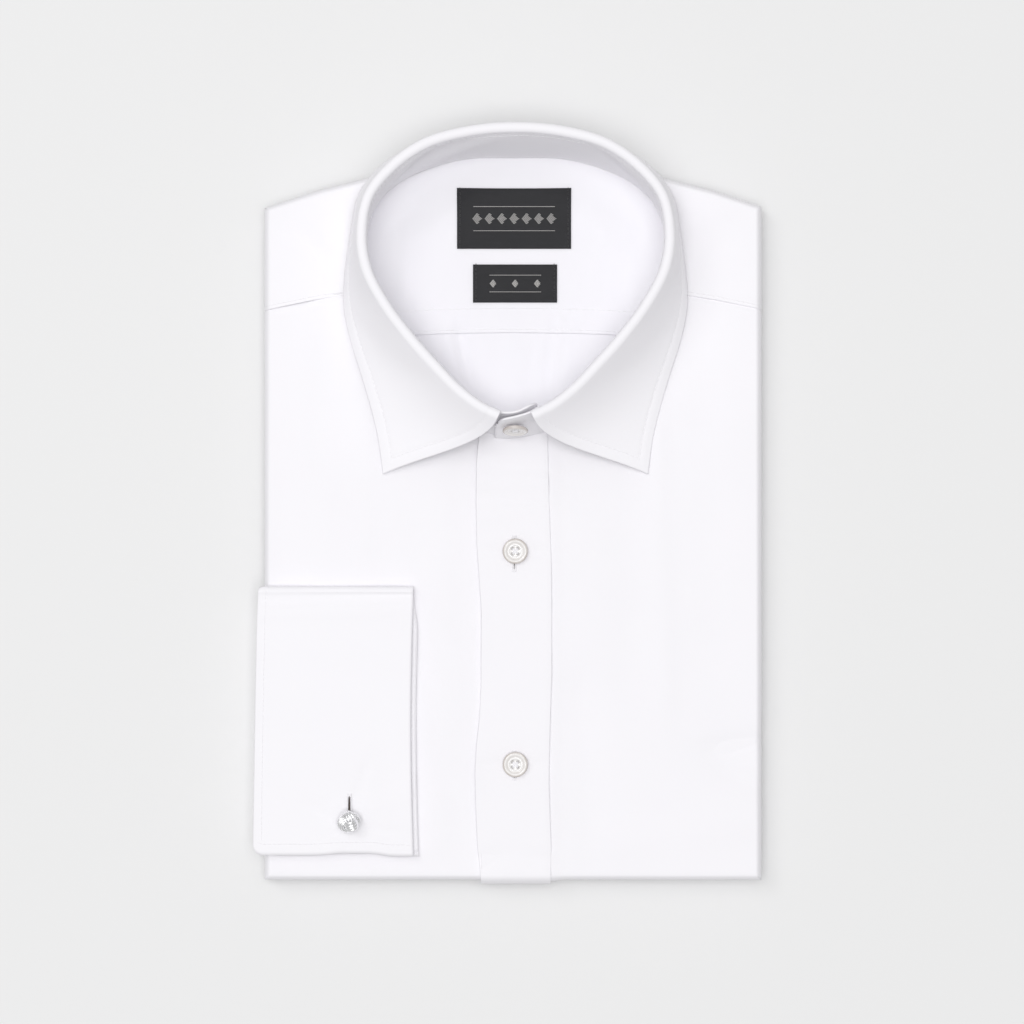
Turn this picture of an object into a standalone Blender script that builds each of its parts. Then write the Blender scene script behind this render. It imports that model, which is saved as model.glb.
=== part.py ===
"""Long sleeve dress shirt, folded flat, with its collar standing and one double cuff turned to the front.

The pack lies on its back: +Z up, +Y towards the collar, X = 0 on the front centre line, and z = 0 at the flat
underside.
Every size below is in millimetres; meshes are written in metres.
"""

import math

import bmesh
import bpy
import numpy as np

# ---- driving dimensions ---------------------------------------------------------------------------
MM = 0.001
CLOTH = 1.0            # wall of one ply
FUSED = 1.2            # wall of the fused collar plies
GAP = 0.3              # clearance kept between neighbouring pieces
STEP = CLOTH + GAP     # how far one laid ply stands above the next

LEFT_X = -114.0        # folded side edges of the pack
RIGHT_X = 111.8
HEM_Y = -166.9         # fold at the bottom
ROLL = 5.0             # how far in a folded edge reaches before the top is level
FOLD_Z = 5.0           # height where the outer ply turns under
FRONT_Z = 19.3         # top of the front panels
CORE_LIFT = -1.5       # the shared inner layers lie this far inside the outer ply

# shoulder fold at the top of the pack, from the neck out to the sleeve head
SHOULDER_COLUMNS = ("x", "y")
SHOULDER = np.array([(0.0, 164.5), (22.0, 163.8), (38.0, 161.5), (53.0, 157.0), (63.5, 152.3),
                     (88.5, 146.2), (114.0, 137.8)])

# half of the collar, from the centre back round to the leaf's front edge: neck seam, top of the roll, leaf
# edge, and the angle below level at which the leaf leaves the roll
COLLAR_COLUMNS = ("seam_x", "seam_y", "crest_x", "crest_y", "crest_z", "edge_x", "edge_y", "edge_z",
                  "fall_deg")
COLLAR = np.array([
    (0.0, 159.4, 0.0, 168.5, 56.0, 0.0, 173.4, 15.0, 84.0),
    (22.6, 158.8, 21.7, 166.6, 56.0, 23.4, 171.8, 15.0, 84.0),
    (38.4, 154.8, 39.4, 161.6, 55.8, 42.6, 166.2, 15.4, 83.0),
    (53.4, 147.4, 54.0, 151.7, 55.5, 59.6, 157.2, 17.2, 82.0),
    (63.0, 137.9, 64.2, 139.4, 55.2, 70.2, 143.6, 21.0, 80.0),
    (68.0, 122.8, 67.6, 123.2, 54.8, 74.4, 124.4, 20.9, 78.0),
    (69.0, 105.6, 65.4, 106.6, 54.2, 76.9, 105.0, 20.9, 76.0),
    (63.4, 86.6, 56.6, 89.9, 53.5, 77.0, 90.5, 20.9, 70.0),
    (54.4, 71.8, 46.9, 77.1, 52.8, 74.0, 76.5, 20.9, 66.0),
    (42.8, 58.4, 36.3, 65.1, 52.0, 69.2, 61.2, 20.9, 62.0),
    (29.6, 46.4, 25.7, 54.0, 51.2, 64.6, 45.2, 20.9, 58.0),
    (17.0, 38.8, 16.3, 46.8, 50.4, 61.6, 32.0, 20.9, 56.0),
    (7.4, 35.4, 7.4, 42.4, 49.6, 59.6, 17.0, 20.9, 54.0)])

# the two ends of the collar stand past the leaf, x measured back across the centre line
BAND_COLUMNS = ("seam_x", "seam_y", "top_x", "top_y", "top_z")
BAND_OVER = np.array([(-0.6, 34.2, -0.6, 42.4, 46.6), (-6.0, 34.0, -6.0, 41.2, 45.6),
                      (-9.2, 34.2, -8.4, 39.8, 41.0)])
BAND_UNDER = np.array([(-0.9, 36.6, -0.9, 45.0, 46.4), (-6.4, 37.8, -6.4, 47.6, 45.8),
                       (-9.4, 39.0, -9.0, 48.4, 41.0)])

ROLL_RADIUS = 2.4      # outside radius of the collar's roll
LEG = 1.5              # how far the leaf comes down inside before its seam with the stand
HANDLE = 0.34          # share of the leaf's fall that keeps the roll's direction
STAND_STATIONS = 45
LEAF_STATIONS = 39

BOWL_DEPTH = 4.0       # the inside of the back sinks this far under the neck opening
CORE_DEEPER = 1.7      # the layers below sink deeper and wider, clear of the back
CORE_WIDER = 1.06
BOWL_Y = 97.0
BOWL_HALF_X = 69.0
BOWL_HALF_Y = 64.0
INNER_LIFT = CORE_LIFT + GAP + CLOTH

YOKE_SEAM_IN_Y = 99.0      # front yoke seam at the collar
YOKE_SEAM_OUT_Y = 90.6     # and at the side edge
INNER_YOKE_Y = 80.6        # seam of the inside yoke with the back

PLACKET_LEFT = -16.9
PLACKET_RIGHT = 15.6
UNDER_EDGE_X = 11.5        # free edge of the under front, below the placket
OVER_EDGE_X = -15.4        # edge of the over front, below the placket
RAMP_X = 23.0              # where the over front comes down to lie level

BUTTON_R = 5.7
BUTTON_X = -0.1
BUTTON_Y = (-17.6, -113.4)
BUTTON_SIDES = 24
HOLE_R = 0.75
HOLE_PITCH = 1.35          # from the button's centre along each diagonal axis
HOLE_SIDES = 8
HOLE_CUT = 8.0             # length of the pins that open the holes
BAND_BUTTON_AT = 0.56      # how far up the stand the collar button sits

CUFF_LEFT = -117.6         # free edge of the turned-back ply
CUFF_RIGHT = -45.4         # fold at the hand end
CUFF_FOLD_Y = -33.4        # fold along the top of the cuff
CUFF_OPEN_Y = -155.0       # kissing edges at the bottom
CUFF_CORNER = 4.5          # rounding of the free corner
CUFF_LOWER_LEFT = -110.6   # the lower half starts inside the side fold
CUFF_LOWER_SHIFT = 1.4     # and stands out this far past the upper half at the hand end
CUFF_GAP = 0.8             # space between the two halves
CUFF_INNER_LEFT = -106.0

SLEEVE_TOP_Y = -41.0
SLEEVE_LOW_Y = -149.0
SLEEVE_WALL = 2.0

LINK_X = -74.5
LINK_Y = -138.4
KNOT_R = 5.4
POST_R = 1.0
TOGGLE_R = 1.0
TOGGLE_LENGTH = 13.0
SLOT_WIDTH = 2.6
SLOT_LENGTH = 15.0
SLOT_Y = -134.6
DENT_DEPTH = 2.5           # the cloth below gives way round the toggle
DENT_INNER = 7.0
DENT_OUTER = 17.0

# lower folded layers of the pack, from the table up: height and how far they stand in from the side folds
LAYER_COLUMNS = ("z", "inset")
LAYERS = np.array([(0.0, 10.0), (0.8, 9.2), (1.8, 9.2), (2.6, 10.0), (2.75, 3.6), (3.4, 2.7), (4.2, 2.7),
                   (4.8, 3.6)])

MATERIALS = {
    "poplin": ((0.93, 0.925, 0.94), 0.82, 0.0),
    "collar_cloth": ((0.94, 0.935, 0.95), 0.8, 0.0),
    "inside_cloth": ((0.9, 0.895, 0.91), 0.85, 0.0),
    "cuff_cloth": ((0.935, 0.93, 0.945), 0.8, 0.0),
    "black_tape": ((0.012, 0.012, 0.014), 0.7, 0.0),
    "pearl": ((0.86, 0.84, 0.81), 0.25, 0.0),
    "silver": ((0.78, 0.78, 0.79), 0.22, 1.0),
}


# ---- helpers --------------------------------------------------------------------------------------
def clear_scene():
    """Removes whatever the file holds, so that the script builds only the shirt."""
    for item in list(bpy.data.objects):
        bpy.data.objects.remove(item)


def own_material(node, kind):
    """One Principled material for each sub-part, from the table of finishes."""
    colour, roughness, metallic = MATERIALS[kind]
    made = bpy.data.materials.new(node)
    made.use_nodes = True
    shader = made.node_tree.nodes["Principled BSDF"]
    shader.inputs["Base Color"].default_value = (*colour, 1.0)
    shader.inputs["Roughness"].default_value = roughness
    shader.inputs["Metallic"].default_value = metallic
    return made


def add_object(node, points, faces, kind):
    """Links a closed mesh, in millimetres, as one named object whose faces point out."""
    mesh = bpy.data.meshes.new(node)
    mesh.from_pydata((np.asarray(points) * MM).tolist(), [], faces)
    shaped = bmesh.new()
    shaped.from_mesh(mesh)
    bmesh.ops.recalc_face_normals(shaped, faces=shaped.faces)
    if shaped.calc_volume(signed=True) < 0.0:
        bmesh.ops.reverse_faces(shaped, faces=shaped.faces)
    shaped.to_mesh(mesh)
    shaped.free()
    mesh.materials.append(own_material(node, kind))
    mesh.shade_smooth()
    mesh.set_sharp_from_angle(angle=math.radians(40))
    item = bpy.data.objects.new(node, mesh)
    bpy.context.scene.collection.objects.link(item)
    return item


def grid_faces(rows, columns, start=0):
    """Triangles of a grid of points numbered row by row."""
    number = start + np.arange(rows * columns).reshape(rows, columns)
    a, b = number[:-1, :-1].ravel(), number[:-1, 1:].ravel()
    c, d = number[1:, 1:].ravel(), number[1:, :-1].ravel()
    return np.concatenate((np.stack((a, b, c), 1), np.stack((a, c, d), 1))).tolist()


def border(rows, columns):
    """Numbers of a grid's edge points, once round."""
    number = np.arange(rows * columns).reshape(rows, columns)
    return np.concatenate((number[0, :], number[1:, -1], number[-1, -2::-1], number[-2:0:-1, 0]))


def band_faces(lower, upper):
    """Quads between two closed loops of point numbers."""
    return [[int(lower[k - 1]), int(lower[k]), int(upper[k]), int(upper[k - 1])] for k in range(len(lower))]


def add_wall(node, outer, inner, kind):
    """Closes the wall between the outer and inner grids of one ply of cloth."""
    rows, columns = outer.shape[:2]
    count = rows * columns
    points = np.concatenate((outer.reshape(-1, 3), inner.reshape(-1, 3)))
    edge = border(rows, columns)
    faces = grid_faces(rows, columns)
    faces += [face[::-1] for face in grid_faces(rows, columns, count)]
    faces += band_faces(edge + count, edge)
    return add_object(node, points, faces, kind)


def unit(vectors):
    return vectors / np.linalg.norm(vectors, axis=-1, keepdims=True)


def thickened(outer, thickness):
    """The grid moved back along its own normals by the cloth's thickness."""
    along = np.gradient(outer, axis=0)
    across = np.gradient(outer, axis=1)
    return outer - thickness * unit(np.cross(across, along))


def smooth(share):
    share = np.clip(share, 0.0, 1.0)
    return share * share * (3.0 - 2.0 * share)


def smooth_rows(rows, count):
    """A curve through the rows of a table, sampled evenly: cubics whose slopes come from their neighbours."""
    steps = np.linalg.norm(np.diff(rows, axis=0), axis=1)
    at = np.concatenate(([0.0], np.cumsum(steps)))
    slope = np.gradient(rows, at, axis=0)
    where = np.linspace(0.0, at[-1], count)
    k = np.clip(np.searchsorted(at, where, side="right") - 1, 0, len(steps) - 1)
    length = steps[k][:, None]
    t = ((where - at[k]) / steps[k])[:, None]
    start = (2 * t**3 - 3 * t**2 + 1) * rows[k] + (t**3 - 2 * t**2 + t) * length * slope[k]
    return start + (3 * t**2 - 2 * t**3) * rows[k + 1] + (t**3 - t**2) * length * slope[k + 1]


# ---- the form that every laid ply follows ---------------------------------------------------------
def shoulder_y(x):
    return np.interp(np.abs(x), SHOULDER[:, 0], SHOULDER[:, 1])


def yoke_seam_y(x):
    """Front yoke seam: falls gently from the collar to the side edge."""
    return np.interp(np.abs(x), (68.0, 90.0, 114.0), (YOKE_SEAM_IN_Y, 95.6, YOKE_SEAM_OUT_Y))


def dent(x, y):
    """Depth of the hollow that the cufflink's toggle presses into the cloth below the cuff."""
    away = np.hypot(x - LINK_X, y - LINK_Y)
    return DENT_DEPTH * smooth((DENT_OUTER - away) / (DENT_OUTER - DENT_INNER))


def bowl(x, y):
    """Depth of the hollow inside the collar, where only the back is left."""
    out = np.hypot(x / BOWL_HALF_X, (y - BOWL_Y) / BOWL_HALF_Y)
    return BOWL_DEPTH * smooth((1.0 - out) / 0.3)


def laid_z(x, y, lift):
    """Height of a ply `lift` outside the front panels: level, then round a quarter ellipse at each fold."""
    side = np.minimum(x - (LEFT_X - lift), (RIGHT_X + lift) - x)
    ends = np.minimum(y - (HEM_Y - lift), shoulder_y(x) + lift - y)
    share = np.clip(np.minimum(side, ends) / (ROLL + lift), 0.0, 1.0)
    return FOLD_Z + (FRONT_Z + lift - FOLD_Z) * np.sqrt(1.0 - (1.0 - share) ** 2) - dent(x, y)


FOLD_ANGLES = np.radians((0.0, 22.0, 44.0, 66.0))


def fold_in(lift):
    """How far in from a folded edge each point round the fold lies, outermost first."""
    return (ROLL + lift)[..., None] * (1.0 - np.cos(FOLD_ANGLES))


def columns_x(flat, lift, left_fold, right_fold):
    """The x of each column: round the left fold, across the level part and round the right fold."""
    at_left = fold_in(lift[:1])[0] + LEFT_X - lift[0]
    at_right = RIGHT_X + lift[-1] - fold_in(lift[-1:])[0][::-1]
    parts = ([at_left] if left_fold else []) + [np.asarray(flat, float)] + ([at_right] if right_fold else [])
    return np.concatenate(parts)


def laid_grid(flat, rows, low, high, lift, left_fold=False, right_fold=False, hem_fold=False, top_fold=False,
              lift_at=None, sink=None):
    """Points of one laid ply: columns across, rows from low(x) to high(x), round the folds that it reaches.

    rows are shares of the level part; lift_at(x), where given, adds to the lift column by column.
    """
    folds = len(FOLD_ANGLES) * (left_fold + right_fold)
    lifts = np.full(len(flat) + folds, float(lift))
    if lift_at is not None:
        lifts = lifts + lift_at(columns_x(flat, lifts, left_fold, right_fold))
    x = columns_x(flat, lifts, left_fold, right_fold)
    bottom = np.full(len(x), HEM_Y + ROLL) if hem_fold else low(x)
    top = shoulder_y(x) - ROLL if top_fold else high(x)
    share = np.asarray(rows, float)[:, None]
    y = bottom + (top - bottom) * share
    if hem_fold:
        y = np.concatenate((HEM_Y - lifts + fold_in(lifts).T, y))
    if top_fold:
        y = np.concatenate((y, shoulder_y(x) + lifts - fold_in(lifts).T[::-1]))
    across = np.broadcast_to(x, y.shape)
    z = laid_z(across, y, np.broadcast_to(lifts, y.shape))
    if sink is not None:
        z = z - sink(across, y)
    return np.stack((across, y, z), -1)


def add_laid(node, kind, lift, thickness=CLOTH, **shape):
    """A ply as a closed wall: its outer face at the given lift, its inner face one thickness below."""
    outer = laid_grid(lift=lift, **shape)
    inner = laid_grid(lift=lift - thickness, **shape)
    return add_wall(node, outer, inner, kind)


# ---- the neck seam, shared by panels, yokes and stand ---------------------------------------------
NECK = np.concatenate((COLLAR[:, :2], [(0.0, 34.6)]))
NECK_FINE = smooth_rows(NECK, 60)
NECK_TURN = int(np.argmax(NECK_FINE[:, 0]))
NECK_HALF = float(NECK_FINE[NECK_TURN, 0])


def neck_back_y(x):
    """The neck seam behind its widest point."""
    return np.interp(np.abs(x), NECK_FINE[:NECK_TURN + 1, 0], NECK_FINE[:NECK_TURN + 1, 1])


def neck_front_y(x):
    """The neck seam in front of its widest point."""
    front = NECK_FINE[NECK_TURN:][::-1]
    return np.interp(np.abs(x), front[:, 0], front[:, 1])


# ---- pieces ---------------------------------------------------------------------------------------
FRONT_ROWS = (0.0, 0.045, 0.08, 0.11, 0.14, 0.18, 0.32, 0.5, 0.68, 0.84, 1.0)
RIGHT_FRONT_X = (LEFT_X + ROLL, -98.0, -90.0, -82.0, -74.5, -69.4, -67.4, -63.0, -57.0, -48.0, -37.0, -25.0,
                 -12.0, 0.0, UNDER_EDGE_X)
LEFT_FRONT_X = (OVER_EDGE_X, -6.0, 4.0, 13.0, 18.0, RAMP_X, 32.0, 43.0, 53.0, 61.0, 66.0, 67.4, 69.4, 80.0,
                94.0, RIGHT_X - ROLL)
NECK_MARGIN = 0.4          # the fronts' top edge leaves the neckline this far inside its widest point
WIDEST_Y = 98.6            # and no higher than this


def front_top_y(x):
    """Upper edge of a front: its yoke seam outside the collar, its neckline inside."""
    return np.where(np.abs(x) > NECK_HALF - NECK_MARGIN, yoke_seam_y(x) - GAP / 2,
                    np.minimum(neck_front_y(x), WIDEST_Y))


def over_lift(x):
    """The over front climbs on to the under front beside the placket."""
    return STEP * smooth((RAMP_X - x) / (RAMP_X - UNDER_EDGE_X - 1.5))


def add_fronts():
    """Under front (wearer's right) and over front (left), from yoke and neckline round the hem fold."""
    add_laid("front_right", "poplin", 0.0, flat=RIGHT_FRONT_X, rows=FRONT_ROWS, low=None, high=front_top_y,
             left_fold=True, hem_fold=True)
    add_laid("front_left", "poplin", 0.0, flat=LEFT_FRONT_X, rows=FRONT_ROWS, low=None, high=front_top_y,
             right_fold=True, hem_fold=True, lift_at=over_lift)


def add_placket():
    """The placket strip lies on the over front from the band down round the hem fold."""
    width = np.linspace(PLACKET_LEFT, PLACKET_RIGHT, 5)
    add_laid("placket", "poplin", 2 * STEP, flat=width, rows=np.linspace(0.0, 1.0, 9), low=None,
             high=lambda x: neck_front_y(x) - 0.2, hem_fold=True)


YOKE_X = (LEFT_X + ROLL, -90.0, -76.0, -69.6, -68.6, -66.0, -60.0, -50.0, -36.0, -19.0, 0.0, 19.0, 36.0,
          50.0, 60.0, 66.0, 68.6, 69.6, 76.0, 90.0, RIGHT_X - ROLL)


def yoke_low_y(x):
    """Lower edge of the outer yoke: its front seams outside the collar, the neck seam behind it."""
    return np.where(np.abs(x) > NECK_HALF, yoke_seam_y(x) + GAP / 2,
                    np.minimum(neck_back_y(x), shoulder_y(x) - ROLL - 0.3))


def add_outer_yoke():
    """The outer yoke comes over the shoulders from the back and carries the collar's neck seam."""
    add_laid("yoke_outer", "poplin", 0.0, flat=YOKE_X, rows=(0.0, 0.33, 0.66, 1.0), low=yoke_low_y, high=None,
             left_fold=True, right_fold=True, top_fold=True)


INSIDE_X = (-65.5, -62.0, -55.0, -44.0, -30.0, -15.0, 0.0, 15.0, 30.0, 44.0, 55.0, 62.0, 65.5)


def inner_yoke_seam(x):
    """The inside yoke's seam with the back sags a little towards the sides."""
    return INNER_YOKE_Y - 2.4 * (x / NECK_HALF) ** 2


INSIDE_SHARE = 1.0 - 0.9 / NECK_HALF


def inside_front_y(x):
    """Front limit of what shows inside the neck: the neck seam drawn in by a little under a millimetre."""
    return BOWL_Y + (neck_front_y(x / INSIDE_SHARE) - BOWL_Y) * INSIDE_SHARE


def inside_back_y(x):
    """Back limit of what shows inside the neck."""
    return BOWL_Y + (neck_back_y(x / INSIDE_SHARE) - BOWL_Y) * INSIDE_SHARE


def add_inside():
    """Inside yoke and back, seen through the neck opening."""
    add_laid("yoke_inner", "inside_cloth", INNER_LIFT, flat=INSIDE_X, rows=np.linspace(0.0, 1.0, 7),
             low=lambda x: np.maximum(inner_yoke_seam(x) + GAP / 2, inside_front_y(x)),
             high=inside_back_y, sink=bowl)
    add_laid("back_panel", "inside_cloth", INNER_LIFT, flat=INSIDE_X[2:-2], rows=np.linspace(0.0, 1.0, 6),
             low=inside_front_y, high=lambda x: inner_yoke_seam(x) - GAP / 2, sink=bowl)


LABEL_COLUMNS = ("node", "left", "right", "low", "high")
LABELS = (("label_main", -26.4, 25.1, 118.9, 146.1), ("label_size", -19.2, 18.8, 94.6, 111.8))


def add_labels():
    """Two woven labels sewn to the inside yoke."""
    for node, left, right, low, high in LABELS:
        add_laid(node, "black_tape", INNER_LIFT + STEP, flat=np.linspace(left, right, 6),
                 rows=(0.0, 0.5, 1.0), low=lambda x, low=low: np.full(len(x), low),
                 high=lambda x, high=high: np.full(len(x), high), sink=bowl)


CORE_X = (LEFT_X + ROLL, -92.0, -82.0, -74.5, -67.0, -57.0, -44.0, -22.0, 0.0, 22.0, 44.0, 57.0, 67.0, 86.0,
          RIGHT_X - ROLL)
CORE_ROWS = (0.0, 0.04, 0.073, 0.105, 0.15, 0.3, 0.45, 0.58, 0.64, 0.74, 0.86, 0.93, 1.0)


def core_sink(x, y):
    """The layers below the back and below the toggle sink a little deeper than the plies that lie on them."""
    wider = bowl(x / CORE_WIDER, BOWL_Y + (y - BOWL_Y) / CORE_WIDER)
    return CORE_DEEPER * wider + 0.3 * dent(x, y)


def add_core():
    """Flaps, sleeves, back and tail folded behind: one rounded solid, layered at its edges, flat below."""
    top = laid_grid(CORE_X, CORE_ROWS, None, None, CORE_LIFT, True, True, True, True, sink=core_sink)
    rows, columns = top.shape[:2]
    edge = border(rows, columns)
    outline = top.reshape(-1, 3)[edge]
    middle = (outline.max(0) + outline.min(0)) / 2
    half = (outline.max(0) - outline.min(0)) / 2
    points = [top.reshape(-1, 3)]
    faces = grid_faces(rows, columns)
    upper = edge
    total = rows * columns
    for z, inset in LAYERS[::-1]:
        in_by = inset + CORE_LIFT
        ring = middle + (outline - middle) * (half - in_by) / np.maximum(half, 1.0)
        ring[:, 2] = z
        points.append(ring)
        lower = total + np.arange(len(edge))
        faces += band_faces(lower, upper)
        upper = lower
        total += len(edge)
    faces.append(upper.tolist())
    add_object("folded_layers", np.concatenate(points), faces, "poplin")


# ---- collar ---------------------------------------------------------------------------------------
def stand_foot_z(x, y):
    """The stand's lower edge lies on the panels, and on the placket at the front."""
    on_placket = smooth((27.0 - np.abs(x)) / 9.0) * (y < BOWL_Y)
    return laid_z(x, y, 0.0) + 2 * STEP * on_placket + GAP


def outward(curve):
    """Level unit vectors out of the collar, square to a curve from the right front round to the left."""
    along = np.gradient(curve[:, :2], axis=0)
    return unit(np.stack((-along[:, 1], along[:, 0], np.zeros(len(curve))), -1))


def both_halves():
    """The collar table's rows from the wearer's right front (mirrored) round the back to the left front."""
    flip = np.where([name.endswith("_x") for name in COLLAR_COLUMNS], -1.0, 1.0)
    return np.concatenate(((COLLAR * flip)[::-1], COLLAR[1:]))


def stand_top(rows):
    """Where the stand meets the leaf, on the inner side just below the roll."""
    crest = rows[:, 2:5]
    return crest - outward(crest) * ROLL_RADIUS - np.array((0.0, 0.0, ROLL_RADIUS + LEG))


def add_stand():
    """The collar stand: one strip round the neck whose left end laps over its right end at the front."""
    both = both_halves()
    flip = np.where([name.endswith("_x") for name in BAND_COLUMNS], -1.0, 1.0)
    round_neck = np.concatenate((both[:, :2], stand_top(both)), 1)
    rows = np.concatenate(((BAND_UNDER * flip)[::-1], round_neck, BAND_OVER))
    rows = smooth_rows(rows, STAND_STATIONS)
    foot = np.stack((rows[:, 0], rows[:, 1], stand_foot_z(rows[:, 0], rows[:, 1])), -1)
    share = np.array((0.0, 0.33, 0.66, 1.0))[:, None, None]
    face = foot + (rows[:, 2:] - foot) * share
    bulge = np.sin(np.pi * share) * 0.6
    face = face - outward(rows[:, 2:]) * bulge
    add_wall("collar_stand", face, face + outward(foot) * FUSED, "collar_cloth")


def add_leaf():
    """The collar leaf: up inside, over the roll and down to its outer edge and points."""
    rows = smooth_rows(both_halves(), LEAF_STATIONS)
    out = outward(rows[:, 2:5])
    centre = rows[:, 2:5] - np.array((0.0, 0.0, ROLL_RADIUS))
    up = np.array((0.0, 0.0, 1.0))
    edge = rows[:, 5:8]
    fall = np.radians(rows[:, 8])[:, None]
    profile = [centre - out * ROLL_RADIUS - up * (LEG - GAP)]
    for share in np.linspace(0.0, 1.0, 5):
        turn = np.pi + (np.pi / 2 - fall - np.pi) * share
        profile.append(centre + ROLL_RADIUS * (np.cos(turn) * out + np.sin(turn) * up))
    start = profile[-1]
    span = np.linalg.norm(edge - start, axis=1, keepdims=True)
    first = start + HANDLE * span * (np.cos(fall) * out - np.sin(fall) * up)
    landing = unit(edge - start)
    landing[:, 2] *= 0.6
    last = edge - HANDLE * span * unit(landing)
    for share in (0.2, 0.4, 0.6, 0.8, 1.0):
        keep = 1.0 - share
        profile.append(keep**3 * start + 3 * keep**2 * share * first + 3 * keep * share**2 * last
                       + share**3 * edge)
    outer = np.stack(profile)
    add_wall("collar_leaf", outer, thickened(outer, FUSED), "collar_cloth")


# ---- buttons --------------------------------------------------------------------------------------
PROFILE_COLUMNS = ("r", "z")
BUTTON_PROFILE = np.array([(0.0, 0.0), (4.4, 0.0), (5.4, 0.5), (BUTTON_R, 1.2), (5.5, 1.9), (4.9, 2.3),
                           (4.1, 2.2), (3.3, 1.6), (0.0, 1.5)])


def turned(node, profile, sides, kind):
    """A closed solid turned about Z from an (r, z) profile that starts and ends on the axis."""
    angle = np.arange(sides) * 2 * np.pi / sides
    rings = profile[1:-1]
    loops = np.stack((rings[:, :1] * np.cos(angle), rings[:, :1] * np.sin(angle),
                      np.broadcast_to(rings[:, 1:], (len(rings), sides))), -1)
    points = np.concatenate((loops.reshape(-1, 3), [(0, 0, profile[0, 1]), (0, 0, profile[-1, 1])]))
    number = np.arange(len(rings) * sides).reshape(len(rings), sides)
    faces = []
    for k in range(len(rings) - 1):
        faces += band_faces(number[k], number[k + 1])
    low, high = len(points) - 2, len(points) - 1
    faces += [[low, int(number[0, k]), int(number[0, k - 1])] for k in range(sides)]
    faces += [[high, int(number[-1, k - 1]), int(number[-1, k])] for k in range(sides)]
    return add_object(node, points, faces, kind)


def cutter_box(name, centre, size):
    """A box that only cuts: left out of renders and of the build."""
    mesh = bpy.data.meshes.new(name)
    shaped = bmesh.new()
    bmesh.ops.create_cube(shaped, size=1.0)
    bmesh.ops.scale(shaped, vec=np.asarray(size) * MM, verts=shaped.verts)
    bmesh.ops.translate(shaped, vec=np.asarray(centre) * MM, verts=shaped.verts)
    shaped.to_mesh(mesh)
    shaped.free()
    item = bpy.data.objects.new(name, mesh)
    bpy.context.scene.collection.objects.link(item)
    item.hide_render = True
    item.display_type = "WIRE"
    return item


def cut(item, cutter):
    modifier = item.modifiers.new("cut_" + cutter.name, "BOOLEAN")
    modifier.operation = "DIFFERENCE"
    modifier.solver = "EXACT"
    modifier.object = cutter


def thread_holes():
    """Four pins, as one cutter mesh, that open the thread holes of a button lying at the origin."""
    shaped = bmesh.new()
    for sign_x in (-1, 1):
        for sign_y in (-1, 1):
            made = bmesh.ops.create_cone(shaped, cap_ends=True, segments=HOLE_SIDES, radius1=HOLE_R * MM,
                                         radius2=HOLE_R * MM, depth=HOLE_CUT * MM)
            bmesh.ops.translate(shaped, vec=(sign_x * HOLE_PITCH * MM, sign_y * HOLE_PITCH * MM, MM),
                                verts=made["verts"])
    mesh = bpy.data.meshes.new("thread_holes")
    shaped.to_mesh(mesh)
    shaped.free()
    return mesh


def add_button(node, place, tilt, holes):
    """One four-hole button, its back at `place`, leaned forward by `tilt` about X."""
    item = turned(node, BUTTON_PROFILE, BUTTON_SIDES, "pearl")
    cutter = bpy.data.objects.new(node + "_holes", holes)
    bpy.context.scene.collection.objects.link(cutter)
    cutter.hide_render = True
    cutter.display_type = "WIRE"
    for thing in (item, cutter):
        thing.location = np.asarray(place) * MM
        thing.rotation_euler = (tilt, 0.0, 0.0)
    cut(item, cutter)


def add_buttons():
    """Two buttons on the placket and one on the band's over end."""
    holes = thread_holes()
    for number, y in enumerate(BUTTON_Y, 1):
        add_button(f"button_front_{number}", (BUTTON_X, y, FRONT_Z + 2 * STEP + GAP), 0.0, holes)
    row = BAND_OVER[0]
    foot = np.array((BUTTON_X, row[1], float(stand_foot_z(row[0], row[1]))))
    top = np.array((BUTTON_X, row[3], row[4]))
    lean = math.atan2(top[2] - foot[2], top[1] - foot[1])
    outer_face = np.array((0.0, -math.sin(lean), math.cos(lean)))
    place = foot + (top - foot) * BAND_BUTTON_AT + outer_face * (FUSED + GAP)
    add_button("button_collar", place, lean, holes)


# ---- cuff, sleeve and cufflink --------------------------------------------------------------------
CUFF_LOW_Z = FRONT_Z + GAP
CUFF_HIGH_Z = CUFF_LOW_Z + 4 * CLOTH + 2 * GAP + CUFF_GAP


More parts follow.
